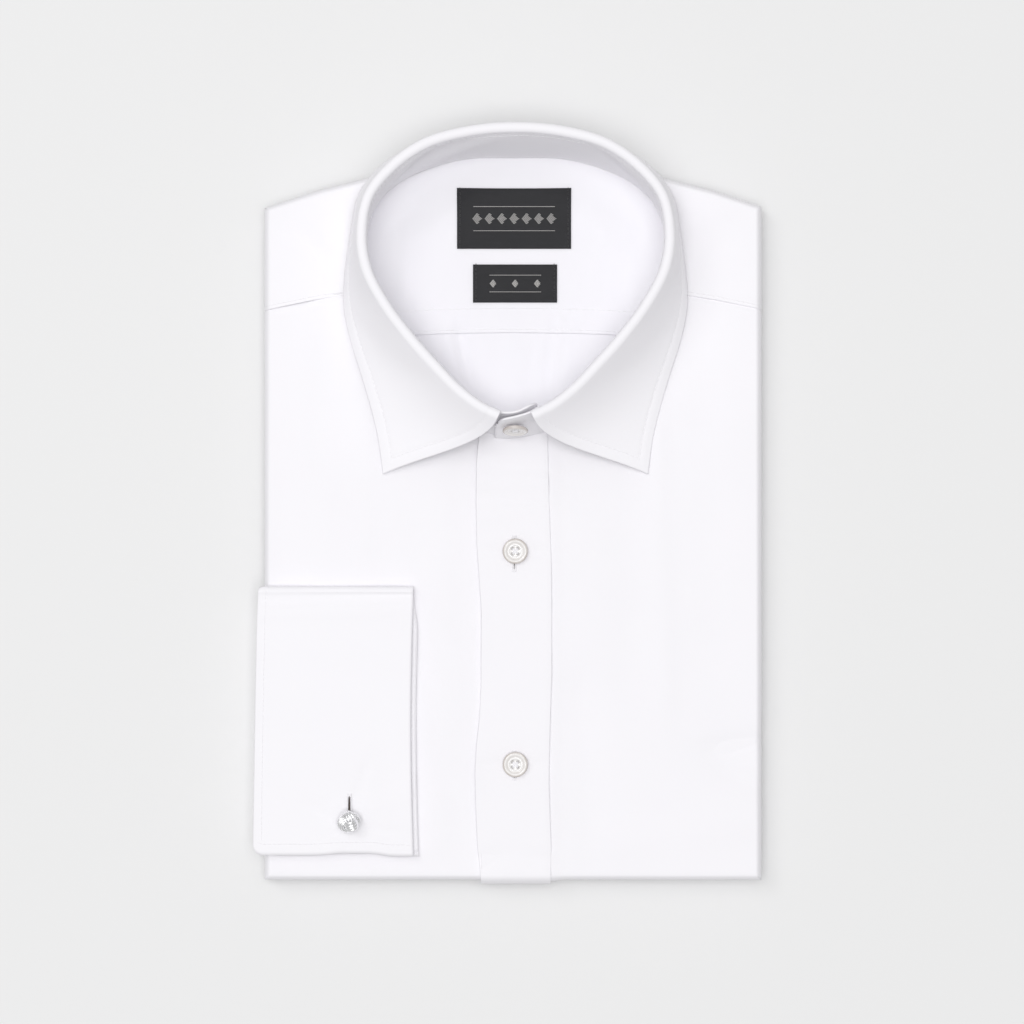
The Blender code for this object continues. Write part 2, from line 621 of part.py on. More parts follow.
def cuff_ply(node, inset, left_top, left_low, right_top, right_low, open_y, corner):
    """One ply of the cuff, folded lengthways: the top half, round the fold and back as the lower half."""
    share = np.linspace(0.0, 1.0, 7)
    half = (CUFF_HIGH_Z - CUFF_LOW_Z) / 2
    middle = (CUFF_HIGH_Z + CUFF_LOW_Z) / 2
    turn = np.radians((90.0, 45.0, 0.0, -45.0, -90.0))

    def face(depth):
        radius = half - depth
        bend_y = CUFF_FOLD_Y - half + radius * np.cos(turn)
        bend_z = middle + radius * np.sin(turn)
        flat = (1.0, 0.92, 0.8, 0.6, 0.4, 0.2)
        start_y = CUFF_FOLD_Y - half
        leg = np.array([start_y + (open_y - start_y) * s for s in flat])
        path_y = np.concatenate((leg, bend_y, leg[::-1]))
        path_z = np.concatenate((np.full(len(leg), middle + radius), bend_z,
                                 np.full(len(leg), middle - radius)))
        below = smooth(np.concatenate((np.zeros(len(leg)), np.linspace(0.0, 1.0, len(turn)),
                                       np.ones(len(leg)))))
        left = left_top + (left_low - left_top) * below
        right = right_top + (right_low - right_top) * below
        x = left[:, None] + (right - left)[:, None] * share
        y = np.broadcast_to(path_y[:, None], x.shape).copy()
        from_left = np.clip(corner - (x - left[:, None]), 0.0, corner)
        rounded = corner - np.sqrt(np.maximum(corner**2 - from_left**2, 0.0))
        y[0] += rounded[0]
        y[-1] += rounded[-1]
        z = np.broadcast_to(path_z[:, None], x.shape)
        return np.stack((x, y, z), -1)

    return add_wall(node, face(inset), face(inset + CLOTH), "cuff_cloth")


def add_cuff():
    """Double cuff: the sewn ply inside, the turned-back ply round it, a buttonhole through each half."""
    slot = cutter_box("cuff_slot", (LINK_X, SLOT_Y, (CUFF_LOW_Z + CUFF_HIGH_Z) / 2),
                      (SLOT_WIDTH, SLOT_LENGTH, CUFF_HIGH_Z - CUFF_LOW_Z + 4.0))
    outer = cuff_ply("cuff_turnback", 0.0, CUFF_LEFT, CUFF_LOWER_LEFT, CUFF_RIGHT,
                     CUFF_RIGHT + CUFF_LOWER_SHIFT, CUFF_OPEN_Y, CUFF_CORNER)
    inner = cuff_ply("cuff_inner", STEP, CUFF_INNER_LEFT, CUFF_INNER_LEFT, CUFF_RIGHT - STEP,
                     CUFF_RIGHT - STEP + CUFF_LOWER_SHIFT, CUFF_OPEN_Y + 0.6, 1.0)
    cut(outer, slot)
    cut(inner, slot)


SLEEVE_COLUMNS = ("x", "z")
SLEEVE_PATH = np.array([(CUFF_INNER_LEFT - GAP, 23.0), (-110.6, 23.0), (-113.8, 22.2), (-115.9, 19.6),
                        (-116.6, 15.6), (-116.8, 10.0), (-116.7, 5.6), (-115.8, 2.8), (-112.8, 0.9),
                        (-108.2, 0.4)])


def add_sleeve():
    """The right sleeve leaves the cuff, turns down round the side of the pack and tucks in below it."""
    path = smooth_rows(SLEEVE_PATH, 14)
    y = np.linspace(SLEEVE_LOW_Y, SLEEVE_TOP_Y, 6)
    outer = np.stack(np.broadcast_arrays(path[:, :1], y, path[:, 1:]), -1)
    along = unit(np.gradient(path, axis=0))
    inward = np.stack((-along[:, 1], np.zeros(len(path)), along[:, 0]), -1) * SLEEVE_WALL
    add_wall("sleeve_right", outer, outer + inward[:, None, :], "poplin")


def add_cufflink():
    """Knot cufflink: the knot on top, a post through both buttonholes and a toggle bar below the cuff."""
    sides, levels = 24, 13
    angle = np.linspace(0.0, np.pi, levels)
    knot = np.stack((KNOT_R * np.sin(angle), -KNOT_R * np.cos(angle)), 1)
    knot[0, 0] = knot[-1, 0] = 0.0
    knot = knot[knot[:, 1] > -0.86 * KNOT_R]
    base = knot[0, 1]
    knot = np.concatenate(([(0.0, base)], knot))
    item = turned("cufflink_knot", knot, sides, "silver")
    item.location = np.array((LINK_X, LINK_Y, CUFF_HIGH_Z + GAP - base)) * MM
    post = turned("cufflink_post", np.array([(0.0, CUFF_LOW_Z - 0.1), (POST_R, CUFF_LOW_Z - 0.1),
                                             (POST_R, CUFF_HIGH_Z), (0.0, CUFF_HIGH_Z)]), 12, "silver")
    post.location = np.array((LINK_X, LINK_Y, 0.0)) * MM
    half = TOGGLE_LENGTH / 2
    bar = np.array([(0.0, -half), (TOGGLE_R * 0.6, -half), (TOGGLE_R, -half + 0.6),
                    (TOGGLE_R, half - 0.6), (TOGGLE_R * 0.6, half), (0.0, half)])
    toggle = turned("cufflink_toggle", bar, 12, "silver")
    toggle.rotation_euler = (math.pi / 2, 0.0, 0.0)
    toggle.location = np.array((LINK_X, LINK_Y, CUFF_LOW_Z - 0.1 - GAP - TOGGLE_R)) * MM


# ---- build ----------------------------------------------------------------------------------------
clear_scene()
add_core()
add_fronts()
add_placket()
add_outer_yoke()
add_inside()
add_labels()
add_stand()
add_leaf()
add_buttons()
add_cuff()
add_sleeve()
add_cufflink()
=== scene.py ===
import math

import bpy
import numpy as np
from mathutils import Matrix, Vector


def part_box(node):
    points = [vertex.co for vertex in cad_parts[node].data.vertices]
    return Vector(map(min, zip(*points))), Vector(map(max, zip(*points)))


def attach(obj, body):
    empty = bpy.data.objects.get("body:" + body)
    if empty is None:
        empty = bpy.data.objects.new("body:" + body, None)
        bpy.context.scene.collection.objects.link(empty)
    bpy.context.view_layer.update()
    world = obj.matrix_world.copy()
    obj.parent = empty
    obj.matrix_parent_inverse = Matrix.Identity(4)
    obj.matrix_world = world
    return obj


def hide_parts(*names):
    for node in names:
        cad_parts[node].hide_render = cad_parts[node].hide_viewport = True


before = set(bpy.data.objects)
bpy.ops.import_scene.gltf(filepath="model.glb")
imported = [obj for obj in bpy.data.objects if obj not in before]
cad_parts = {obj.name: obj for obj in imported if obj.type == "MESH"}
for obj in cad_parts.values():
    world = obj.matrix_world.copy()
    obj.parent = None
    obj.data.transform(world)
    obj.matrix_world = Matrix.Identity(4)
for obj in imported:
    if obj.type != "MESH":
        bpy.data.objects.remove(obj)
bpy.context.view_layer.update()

# ---- Table top, light and camera -----------------------------------------------------------------
# The folded shirt lies on a plain pale table top. One broad lamp hangs overhead and a second stands up and to
# the left, the room fills in the rest, and the camera looks straight down through a long lens.
FLOOR_SIDE = 8.0
FLOOR_Z = -0.0003
FLOOR_COLOUR = (0.822, 0.822, 0.824)
ROOM_LIGHT = 0.46
# lamp: name, place, side of the square and watts
LAMPS = (("overhead_lamp", (-0.12, 0.0, 3.5), 1.9, 63.0), ("side_lamp", (-1.5, 1.2, 3.0), 1.2, 15.0))
CAMERA_X = -0.001575
CAMERA_Z = 1.300
LENS = 100.0
SENSOR = 36.0

scene = bpy.context.scene
scene.view_settings.view_transform = "Standard"

half_side = FLOOR_SIDE / 2
table_mesh = bpy.data.meshes.new("table_top")
table_corners = [(-half_side, -half_side, FLOOR_Z), (half_side, -half_side, FLOOR_Z),
                 (half_side, half_side, FLOOR_Z), (-half_side, half_side, FLOOR_Z)]
table_mesh.from_pydata(table_corners, [], [(0, 1, 2, 3)])
table_top = bpy.data.objects.new("table_top", table_mesh)
scene.collection.objects.link(table_top)


def new_finish(name):
    """A new material, with its nodes, its links and its shader."""
    made = bpy.data.materials.new(name)
    made.use_nodes = True
    nodes = made.node_tree.nodes
    return made, nodes, made.node_tree.links, nodes["Principled BSDF"]


table_paint, _, _, table_shader = new_finish("table_paint")
table_shader.inputs["Base Color"].default_value = (*FLOOR_COLOUR, 1.0)
table_shader.inputs["Roughness"].default_value = 0.9
table_shader.inputs["Specular IOR Level"].default_value = 0.1
table_mesh.materials.append(table_paint)

room = bpy.data.worlds.new("room")
room.use_nodes = True
room.node_tree.nodes["Background"].inputs["Color"].default_value = (1.0, 1.0, 1.0, 1.0)
room.node_tree.nodes["Background"].inputs["Strength"].default_value = ROOM_LIGHT
scene.world = room

for lamp_name, place, side, watts in LAMPS:
    lamp_data = bpy.data.lights.new(lamp_name, "AREA")
    lamp_data.size = side
    lamp_data.energy = watts
    lamp = bpy.data.objects.new(lamp_name, lamp_data)
    lamp.location = place
    aim = -np.array(place)
    lamp.rotation_euler = (math.atan2(np.hypot(aim[0], aim[1]), -aim[2]), 0.0, math.atan2(-aim[0], aim[1]))
    scene.collection.objects.link(lamp)

camera_data = bpy.data.cameras.new("camera")
camera_data.lens = LENS
camera_data.sensor_width = SENSOR
camera = bpy.data.objects.new("camera", camera_data)
camera.location = (CAMERA_X, 0.0, CAMERA_Z)
scene.collection.objects.link(camera)
scene.camera = camera

# ---- Folded layers -------------------------------------------------------------------------------
# Side flaps, left sleeve, back and tail, all poplin, folded behind the fronts and pressed into one pad. Its
# edge shows the single plies lying on each other, and the table side shows flaps, back and folded-up tail.
MM = 0.001


def low(node, axis):
    """Lowest coordinate of a CAD node, in millimetres; axis is 0, 1 or 2 for x, y or z."""
    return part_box(node)[0][axis] / MM


def high(node, axis):
    """Highest coordinate of a CAD node, in millimetres."""
    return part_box(node)[1][axis] / MM


LEFT_X = low("front_right", 0)
RIGHT_X = high("front_left", 0)
HEM_Y = low("front_right", 1)
FOLD_Z = low("front_right", 2)
FRONT_Z = high("front_right", 2)
PAD_LIFT = high("folded_layers", 2) - FRONT_Z
ROLL = 3.6             # how far in a folded edge reaches before the top is level
BOWL_DEPTH = 4.0       # the inside of the back sinks this far under the neck opening
BOWL_RIM = 0.3         # share of the hollow's radius over which it sinks
BOWL_Y = 97.0
BOWL_HALF_X = 69.0
BOWL_HALF_Y = 64.0
PAD_DEEPER = 1.8       # the pad's hollow is deeper and wider than the back's, to clear it
PAD_WIDER = 1.06
LINK_X = (low("cufflink_post", 0) + high("cufflink_post", 0)) / 2
LINK_Y = (low("cufflink_post", 1) + high("cufflink_post", 1)) / 2
DENT_DEPTH = 2.5       # the cloth gives way this far under the cufflink's toggle
DENT_INNER = 7.0
DENT_OUTER = 17.0
SHOULDER_X = (0.0, 22.0, 38.0, 53.0, 63.5, 88.5, 114.0)
SHOULDER_Y = (164.5, 163.8, 161.5, 157.0, 152.3, 146.2, 137.8)


def smooth(share):
    """The share eased at both ends: three squares less two cubes."""
    share = np.clip(share, 0.0, 1.0)
    return share * share * (3.0 - 2.0 * share)


def shoulder_y(x):
    """The shoulder fold: straight stretches from the neck out to the sleeve head, the same on both sides."""
    return np.interp(np.abs(x), SHOULDER_X, SHOULDER_Y)


def dent(x, y):
    """Round hollow under the toggle, level inside and eased out to nothing."""
    return DENT_DEPTH * smooth((DENT_OUTER - np.hypot(x - LINK_X, y - LINK_Y)) / (DENT_OUTER - DENT_INNER))


def bowl(x, y):
    """Oval hollow inside the collar, eased to nothing at its rim."""
    return BOWL_DEPTH * smooth((1.0 - np.hypot(x / BOWL_HALF_X, (y - BOWL_Y) / BOWL_HALF_Y)) / BOWL_RIM)


def laid_z(x, y, lift):
    """Height of a ply `lift` outside the fronts: level, then a quarter ellipse down to each folded edge."""
    side = np.minimum(x - (LEFT_X - lift), (RIGHT_X + lift) - x)
    ends = np.minimum(y - (HEM_Y - lift), shoulder_y(x) + lift - y)
    share = np.clip(np.minimum(side, ends) / (ROLL + lift), 0.0, 1.0)
    return FOLD_Z + (FRONT_Z + lift - FOLD_Z) * np.sqrt(1.0 - (1.0 - share) ** 2) - dent(x, y)


FOLD_ANGLES = np.radians(np.linspace(0.0, 81.0, 10))


def fold_in(lift):
    """How far in from a folded edge each point round the fold lies: radius times one less cosine."""
    return (ROLL + lift)[..., None] * (1.0 - np.cos(FOLD_ANGLES))


def columns_x(flat, lift, left_fold, right_fold):
    """The x of each column: round the left fold, over the level part and round the right fold."""
    at_left = fold_in(lift[:1])[0] + LEFT_X - lift[0]
    at_right = RIGHT_X + lift[-1] - fold_in(lift[-1:])[0][::-1]
    parts = ([at_left] if left_fold else []) + [np.asarray(flat, float)] + ([at_right] if right_fold else [])
    return np.concatenate(parts)


def laid_grid(flat, rows, below, above, lift, left_fold=False, right_fold=False, hem_fold=False,
              top_fold=False, lift_at=None):
    """One laid ply as a grid: columns across, rows from below(x) to above(x), round each fold it reaches."""
    lifts = np.full(len(flat) + len(FOLD_ANGLES) * (left_fold + right_fold), float(lift))
    if lift_at is not None:
        lifts = lifts + lift_at(columns_x(flat, lifts, left_fold, right_fold))
    x = columns_x(flat, lifts, left_fold, right_fold)
    bottom = np.full(len(x), HEM_Y + ROLL) if hem_fold else below(x)
    top = shoulder_y(x) - ROLL if top_fold else above(x)
    y = bottom + (top - bottom) * np.asarray(rows, float)[:, None]
    if hem_fold:
        y = np.concatenate((HEM_Y - lifts + fold_in(lifts).T, y))
    if top_fold:
        y = np.concatenate((y, shoulder_y(x) + lifts - fold_in(lifts).T[::-1]))
    across = np.broadcast_to(x, y.shape)
    return np.stack((across, y, laid_z(across, y, np.broadcast_to(lifts, y.shape))), -1)


def spaced(start, end, pitch, rim=0.35):
    """Even steps from start to end with one narrow step inside each end, where the edge of a ply turns."""
    inner = np.linspace(start + rim, end - rim, max(2, int(round((end - start) / pitch))))
    return np.concatenate(([start], inner, [end]))


def grid_faces(rows, columns, start=0):
    """Quads of a grid of points numbered row by row."""
    number = start + np.arange(rows * columns).reshape(rows, columns)
    return np.stack((number[:-1, :-1], number[:-1, 1:], number[1:, 1:], number[1:, :-1]), -1).reshape(-1, 4)


def cloth_uv(grid):
    """Lengths along the cloth, in metres: u across each row and v down each column."""
    u = np.zeros(grid.shape[:2])
    v = np.zeros(grid.shape[:2])
    u[:, 1:] = np.cumsum(np.linalg.norm(np.diff(grid, axis=1), axis=2), axis=1)
    v[1:] = np.cumsum(np.linalg.norm(np.diff(grid, axis=0), axis=2), axis=0)
    return np.stack((u, v), -1).reshape(-1, 2) * MM


def add_piece(name, points, faces, finish, stands_for=(), uv=None):
    """Links one mesh, given in millimetres, as a piece that rides with the shirt."""
    mesh = bpy.data.meshes.new(name)
    face_list = faces if isinstance(faces, list) else faces.tolist()
    mesh.from_pydata((np.asarray(points) * MM).tolist(), [], face_list)
    if uv is not None:
        corner = np.empty(len(mesh.loops), dtype=np.int32)
        mesh.loops.foreach_get("vertex_index", corner)
        mesh.uv_layers.new(name="cloth").data.foreach_set("uv", uv[corner].ravel())
    mesh.materials.append(finish)
    mesh.shade_smooth()
    piece = bpy.data.objects.new(name, mesh)
    scene.collection.objects.link(piece)
    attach(piece, "root")
    if stands_for:
        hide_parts(*stands_for)
    return piece


def add_cloth(name, grid, thickness, finish, stands_for=(), open_cells=None):
    """One ply: the grid is its shown face, and the wall goes back from it by the cloth's thickness."""
    faces = grid_faces(*grid.shape[:2])
    if open_cells is not None:
        faces = faces[~open_cells.ravel()]
    piece = add_piece(name, grid.reshape(-1, 3), faces, finish, stands_for, cloth_uv(grid))
    wall = piece.modifiers.new("wall", "SOLIDIFY")
    wall.thickness = thickness * MM
    wall.offset = -1.0
    return piece


def fold(x, y, x0, y0, x1, y1, width, height):
    """A soft ridge, or a trough where height is below zero: a bell across a line, fading past its ends."""
    length = math.hypot(x1 - x0, y1 - y0)
    along = ((x - x0) * (x1 - x0) + (y - y0) * (y1 - y0)) / length
    away = ((x - x0) * (y1 - y0) - (y - y0) * (x1 - x0)) / length
    beyond = np.maximum(np.maximum(-along, along - length), 0.0)
    return height * np.exp(-(away / width) ** 2 - (beyond / (2.5 * width)) ** 2)


def folds(x, y, table):
    """The sum of the folds in a table of (x0, y0, x1, y1, width, height) rows."""
    return sum(fold(x, y, *row) for row in table)


def ripple(x, y, waves):
    """Slow unevenness of cloth that lies loose: a sum of sine waves (length, heading, phase, height)."""
    total = np.zeros(np.shape(x))
    for length, heading, phase, height in waves:
        turn = math.radians(heading)
        along = x * math.cos(turn) + y * math.sin(turn)
        total = total + height * np.sin(2 * np.pi * along / length + phase)
    return total


def woven(name, colour, shade, pitch=0.42, relief=0.35, sheen=0.12, roughness=0.85):
    """Plain weave on the cloth's lengths: two sine bands a thread apart, multiplied, and drawn-out slubs."""
    made, nodes, links, shader = new_finish(name)
    lengths = nodes.new("ShaderNodeUVMap")
    lengths.uv_map = "cloth"
    bands = []
    for direction in ("X", "Y"):
        band = nodes.new("ShaderNodeTexWave")
        band.bands_direction = direction
        band.inputs["Scale"].default_value = 2 * math.pi / (20 * pitch * MM)
        links.new(lengths.outputs["UV"], band.inputs["Vector"])
        bands.append(band)
    crossing = nodes.new("ShaderNodeMath")
    crossing.operation = "MULTIPLY"
    links.new(bands[0].outputs["Fac"], crossing.inputs[0])
    links.new(bands[1].outputs["Fac"], crossing.inputs[1])
    drawn = nodes.new("ShaderNodeMapping")
    drawn.inputs["Scale"].default_value = (1.0, 9.0, 1.0)
    links.new(lengths.outputs["UV"], drawn.inputs["Vector"])
    slub = nodes.new("ShaderNodeTexNoise")
    slub.inputs["Scale"].default_value = 140.0
    slub.inputs["Detail"].default_value = 3.0
    links.new(drawn.outputs["Vector"], slub.inputs["Vector"])
    height = nodes.new("ShaderNodeMath")
    height.operation = "ADD"
    links.new(crossing.outputs[0], height.inputs[0])
    links.new(slub.outputs["Fac"], height.inputs[1])
    bump = nodes.new("ShaderNodeBump")
    bump.inputs["Strength"].default_value = relief
    bump.inputs["Distance"].default_value = 0.05 * MM
    links.new(height.outputs[0], bump.inputs["Height"])
    links.new(bump.outputs["Normal"], shader.inputs["Normal"])
    tone = nodes.new("ShaderNodeTexNoise")
    tone.inputs["Scale"].default_value = 22.0
    tone.inputs["Detail"].default_value = 2.0
    links.new(lengths.outputs["UV"], tone.inputs["Vector"])
    dye = nodes.new("ShaderNodeMix")
    dye.data_type = "RGBA"
    dye.inputs[6].default_value = (*colour, 1.0)
    dye.inputs[7].default_value = (*shade, 1.0)
    links.new(tone.outputs["Fac"], dye.inputs[0])
    links.new(dye.outputs[2], shader.inputs["Base Color"])
    rough = nodes.new("ShaderNodeMapRange")
    rough.inputs["To Min"].default_value = roughness - 0.07
    rough.inputs["To Max"].default_value = roughness + 0.07
    links.new(slub.outputs["Fac"], rough.inputs["Value"])
    links.new(rough.outputs["Result"], shader.inputs["Roughness"])
    shader.inputs["Sheen Weight"].default_value = sheen
    shader.inputs["Sheen Roughness"].default_value = 0.5
    shader.inputs["Specular IOR Level"].default_value = 0.25
    return made


poplin = woven("poplin", (0.925, 0.912, 0.945), (0.905, 0.892, 0.925))

PLY_NOSE = 1.25        # height of one folded ply where it shows at the pad's edge
PLIES_TOP_Z = 4.9      # the pad's edge is turned under below this height
RING_STEP = 0.12
TABLE_GAP = 0.05       # the outline's height over the table top
EDGE_IN = 3.0          # how far the upper plies stand in from the fronts' fold
EDGE_IN_LOW = 9.0      # and the lowest ones
TAIL_Y = 28.0          # top edge of the folded-up tail, seen from below
FLAP_X = (-52.0, 47.0)     # inner edges of the two side flaps, seen from below


def pad_inset(z, around):
    """How far the pad's edge stands in: a half-round nose for each ply, uneven along it, stepped low down."""
    nose = 1.3 * (1.0 - np.sqrt(np.abs(np.sin(np.pi * z / PLY_NOSE))))
    uneven = 0.5 * np.sin(around * 3.0 + z) + 0.35 * np.sin(around * 7.0 + 2.0 * np.floor(z / PLY_NOSE))
    step = (EDGE_IN_LOW - EDGE_IN) * smooth((2.6 - z) / 0.3)
    return EDGE_IN + nose + uneven + step


def underside_z(x, y):
    """Height of the table side: the tail lies on the table, the flaps over it, the back highest."""
    on_flap = np.maximum(smooth((FLAP_X[0] - x) / 1.2), smooth((x - FLAP_X[1]) / 1.2))
    below_tail = smooth((TAIL_Y + 0.04 * x - y) / 1.2)
    return 0.9 * (1.0 - on_flap) * (1.0 - below_tail) + 0.45 * on_flap * (1.0 - below_tail)


pad_top = laid_grid(spaced(LEFT_X + ROLL, RIGHT_X - ROLL, 3.5), np.linspace(0.0, 1.0, 92), None, None,
                    PAD_LIFT, True, True, True, True)
hollow_y = BOWL_Y + (pad_top[..., 1] - BOWL_Y) / PAD_WIDER
pad_top[..., 2] -= PAD_DEEPER * bowl(pad_top[..., 0] / PAD_WIDER, hollow_y)
pad_rows, pad_columns = pad_top.shape[:2]
pad_number = np.arange(pad_rows * pad_columns).reshape(pad_rows, pad_columns)
pad_edge = np.concatenate((pad_number[0], pad_number[1:, -1], pad_number[-1, -2::-1], pad_number[-2:0:-1, 0]))
pad_outline = pad_top.reshape(-1, 3)[pad_edge]
pad_middle = (pad_outline.max(0) + pad_outline.min(0)) / 2
pad_half = np.maximum((pad_outline.max(0) - pad_outline.min(0)) / 2, 1.0)


def drawn_in(points, inset):
    """Points brought in towards the middle so that the outline stands in by the inset."""
    return pad_middle + (points - pad_middle) * (pad_half - np.asarray(inset)[..., None]) / pad_half


pad_turn = np.arctan2(pad_outline[:, 1] - pad_middle[1], pad_outline[:, 0] - pad_middle[0])
pad_points = [pad_top.reshape(-1, 3)]
pad_faces = [grid_faces(pad_rows, pad_columns)]
above = pad_edge
total = pad_rows * pad_columns
for z in np.arange(PLIES_TOP_Z, TABLE_GAP, -RING_STEP):
    ring = drawn_in(pad_outline, pad_inset(z, pad_turn))
    ring[:, 2] = z
    pad_points.append(ring)
    ring_number = total + np.arange(len(ring))
    pad_faces.append(np.stack((np.roll(ring_number, 1), ring_number, above, np.roll(above, 1)), 1))
    above = ring_number
    total += len(ring)
turn_all = np.arctan2(pad_top[..., 1] - pad_middle[1], pad_top[..., 0] - pad_middle[0])
pad_below = drawn_in(pad_top, pad_inset(TABLE_GAP, turn_all))
pad_below[..., 2] = underside_z(pad_below[..., 0], pad_below[..., 1])
on_outline = np.zeros((pad_rows, pad_columns), bool)
on_outline[[0, -1]] = True
on_outline[:, [0, -1]] = True
pad_below[..., 2][on_outline] = TABLE_GAP
pad_points.append(pad_below.reshape(-1, 3))
pad_faces.append(grid_faces(pad_rows, pad_columns, total)[:, ::-1])
pad_faces.append(np.stack((total + np.roll(pad_edge, 1), total + pad_edge, above, np.roll(above, 1)), 1))
pad_points = np.concatenate(pad_points)
folded_pad = add_piece("folded_pad", pad_points, np.concatenate(pad_faces), poplin,
                       ("folded_layers",), uv=pad_points[:, :2] * MM)

# ---- Fronts --------------------------------------------------------------------------------------
# Two poplin panels sewn to the yoke at the top and turned under at the side and hem folds. The wearer's left
# front laps over the right one beside the placket. Each is one ply with a few soft creases from folding.
PLY = 0.5              # thickness of poplin as it shows
COLLAR_COLUMNS = ("seam_x", "seam_y", "crest_x", "crest_y", "crest_z",
                  "edge_x", "edge_y", "edge_z", "fall_deg")
COLLAR = np.array([
    (0.0, 159.4, 0.0, 168.5, 56.0, 0.0, 173.4, 15.0, 84.0),
    (22.6, 158.8, 21.7, 166.6, 56.0, 23.4, 171.8, 15.0, 84.0),
    (38.4, 154.8, 39.4, 161.6, 55.8, 42.6, 166.2, 15.4, 83.0),
    (53.4, 147.4, 54.0, 151.7, 55.5, 59.6, 157.2, 17.2, 82.0),
    (63.0, 137.9, 64.2, 139.4, 55.2, 70.2, 143.6, 21.0, 80.0),
    (68.0, 122.8, 67.6, 123.2, 54.8, 74.4, 124.4, 20.9, 78.0),
    (69.0, 105.6, 65.4, 106.6, 54.2, 76.9, 105.0, 20.9, 76.0),
    (63.4, 86.6, 56.6, 89.9, 53.5, 77.0, 90.5, 20.9, 70.0),
    (54.4, 71.8, 46.9, 77.1, 52.8, 74.0, 76.5, 20.9, 66.0),
    (42.8, 58.4, 36.3, 65.1, 52.0, 69.2, 61.2, 20.9, 62.0),
    (29.6, 46.4, 25.7, 54.0, 51.2, 64.6, 45.2, 20.9, 58.0),
    (17.0, 38.8, 16.3, 46.8, 50.4, 61.6, 32.0, 20.9, 56.0),
    (7.4, 35.4, 7.4, 42.4, 49.6, 59.6, 17.0, 20.9, 54.0)])
YOKE_SEAM_X = (68.0, 90.0, 114.0)
YOKE_SEAM_Y = (99.0, 95.6, 90.6)
UNDER_EDGE_X = high("front_right", 0)
OVER_EDGE_X = low("front_left", 0)
RAMP_X = 23.0          # where the over front comes down to lie level
OVER_LIFT = 0.95
PANEL_PITCH = 1.7
# fold: x and y of its start, x and y of its end, width and height, which is below zero for a trough
LEFT_FRONT_FOLDS = ((62.0, 74.0, 67.0, -82.0, 6.0, 0.9), (50.0, 60.0, 52.0, -70.0, 8.0, -0.6),
                    (111.0, -103.0, 98.0, -105.0, 5.0, -1.5), (112.0, -126.0, 101.0, -119.0, 6.0, -1.2),
                    (84.0, 70.0, 92.0, -60.0, 11.0, -0.6), (30.0, -80.0, 34.0, -150.0, 7.0, -0.7),
                    (40.0, -150.0, 98.0, -142.0, 8.0, 0.6), (26.0, -2.0, 40.0, -10.0, 6.0, 0.5))
RIGHT_FRONT_FOLDS = ((-96.0, 84.0, -104.0, -20.0, 8.0, -0.7), (-84.0, 78.0, -88.0, -20.0, 8.0, 0.7),
                     (-66.0, 60.0, -60.0, -20.0, 8.0, -0.6), (-34.0, 30.0, -32.0, -120.0, 7.0, 0.6),
                     (-42.0, -60.0, -24.0, -150.0, 6.0, -0.6), (-100.0, -160.0, -40.0, -158.0, 6.0, -0.5))
UNDER_YOKE = 1.4       # how far a front reaches up under the yoke's edge
UNDER_YOKE_DEPTH = 0.75
NECKLINE_TOP_Y = 98.6
# wave: length, heading in degrees, phase and height
FRONT_WAVES = ((71.0, 20.0, 0.4, 0.16), (47.0, 75.0, 1.9, 0.12), (33.0, -38.0, 3.1, 0.07))


def smooth_rows(rows, where):
    """A curve through a table's rows at shares of its length: cubics, with slopes from the neighbours."""
    steps = np.linalg.norm(np.diff(rows, axis=0), axis=1)
    at = np.concatenate(([0.0], np.cumsum(steps)))
    slope = np.gradient(rows, at, axis=0)
    place = np.asarray(where, float) * at[-1]
    k = np.clip(np.searchsorted(at, place, side="right") - 1, 0, len(steps) - 1)
    length = steps[k][:, None]
    t = ((place - at[k]) / steps[k])[:, None]
    start = (2 * t**3 - 3 * t**2 + 1) * rows[k] + (t**3 - 2 * t**2 + t) * length * slope[k]
    return start + (3 * t**2 - 2 * t**3) * rows[k + 1] + (t**3 - t**2) * length * slope[k + 1]


neck = smooth_rows(np.concatenate((COLLAR[:, :2], [(0.0, 34.6)])), np.linspace(0.0, 1.0, 160))
neck_turn = int(np.argmax(neck[:, 0]))
NECK_HALF = float(neck[neck_turn, 0])


def neck_back_y(x):
    """The neck seam behind its widest point."""
    return np.interp(np.abs(x), neck[:neck_turn + 1, 0], neck[:neck_turn + 1, 1])


def neck_front_y(x):
    """The neck seam in front of its widest point."""
    return np.interp(np.abs(x), neck[neck_turn:, 0][::-1], neck[neck_turn:, 1][::-1])


def yoke_seam_y(x):
    """Front yoke seam: falls gently from the collar to the side edge."""
    return np.interp(np.abs(x), YOKE_SEAM_X, YOKE_SEAM_Y)


def front_top_y(x):
    """Upper edge of a front: just under its yoke seam outside the collar, its neckline inside."""
    neckline = np.minimum(neck_front_y(x), NECKLINE_TOP_Y)
    return np.where(np.abs(x) > NECK_HALF - 0.4, yoke_seam_y(x) + UNDER_YOKE, neckline)


def over_lift(x):
    """The over front climbs on to the under front beside the placket."""
    return OVER_LIFT * smooth((RAMP_X - x) / (RAMP_X - UNDER_EDGE_X - 1.5))


def seam_tuck(x, y, seam, width, depth):
    """A sewn edge drawn down: a bell-shaped trough along y = seam(x)."""
    return -depth * np.exp(-((y - seam(x)) / width) ** 2)


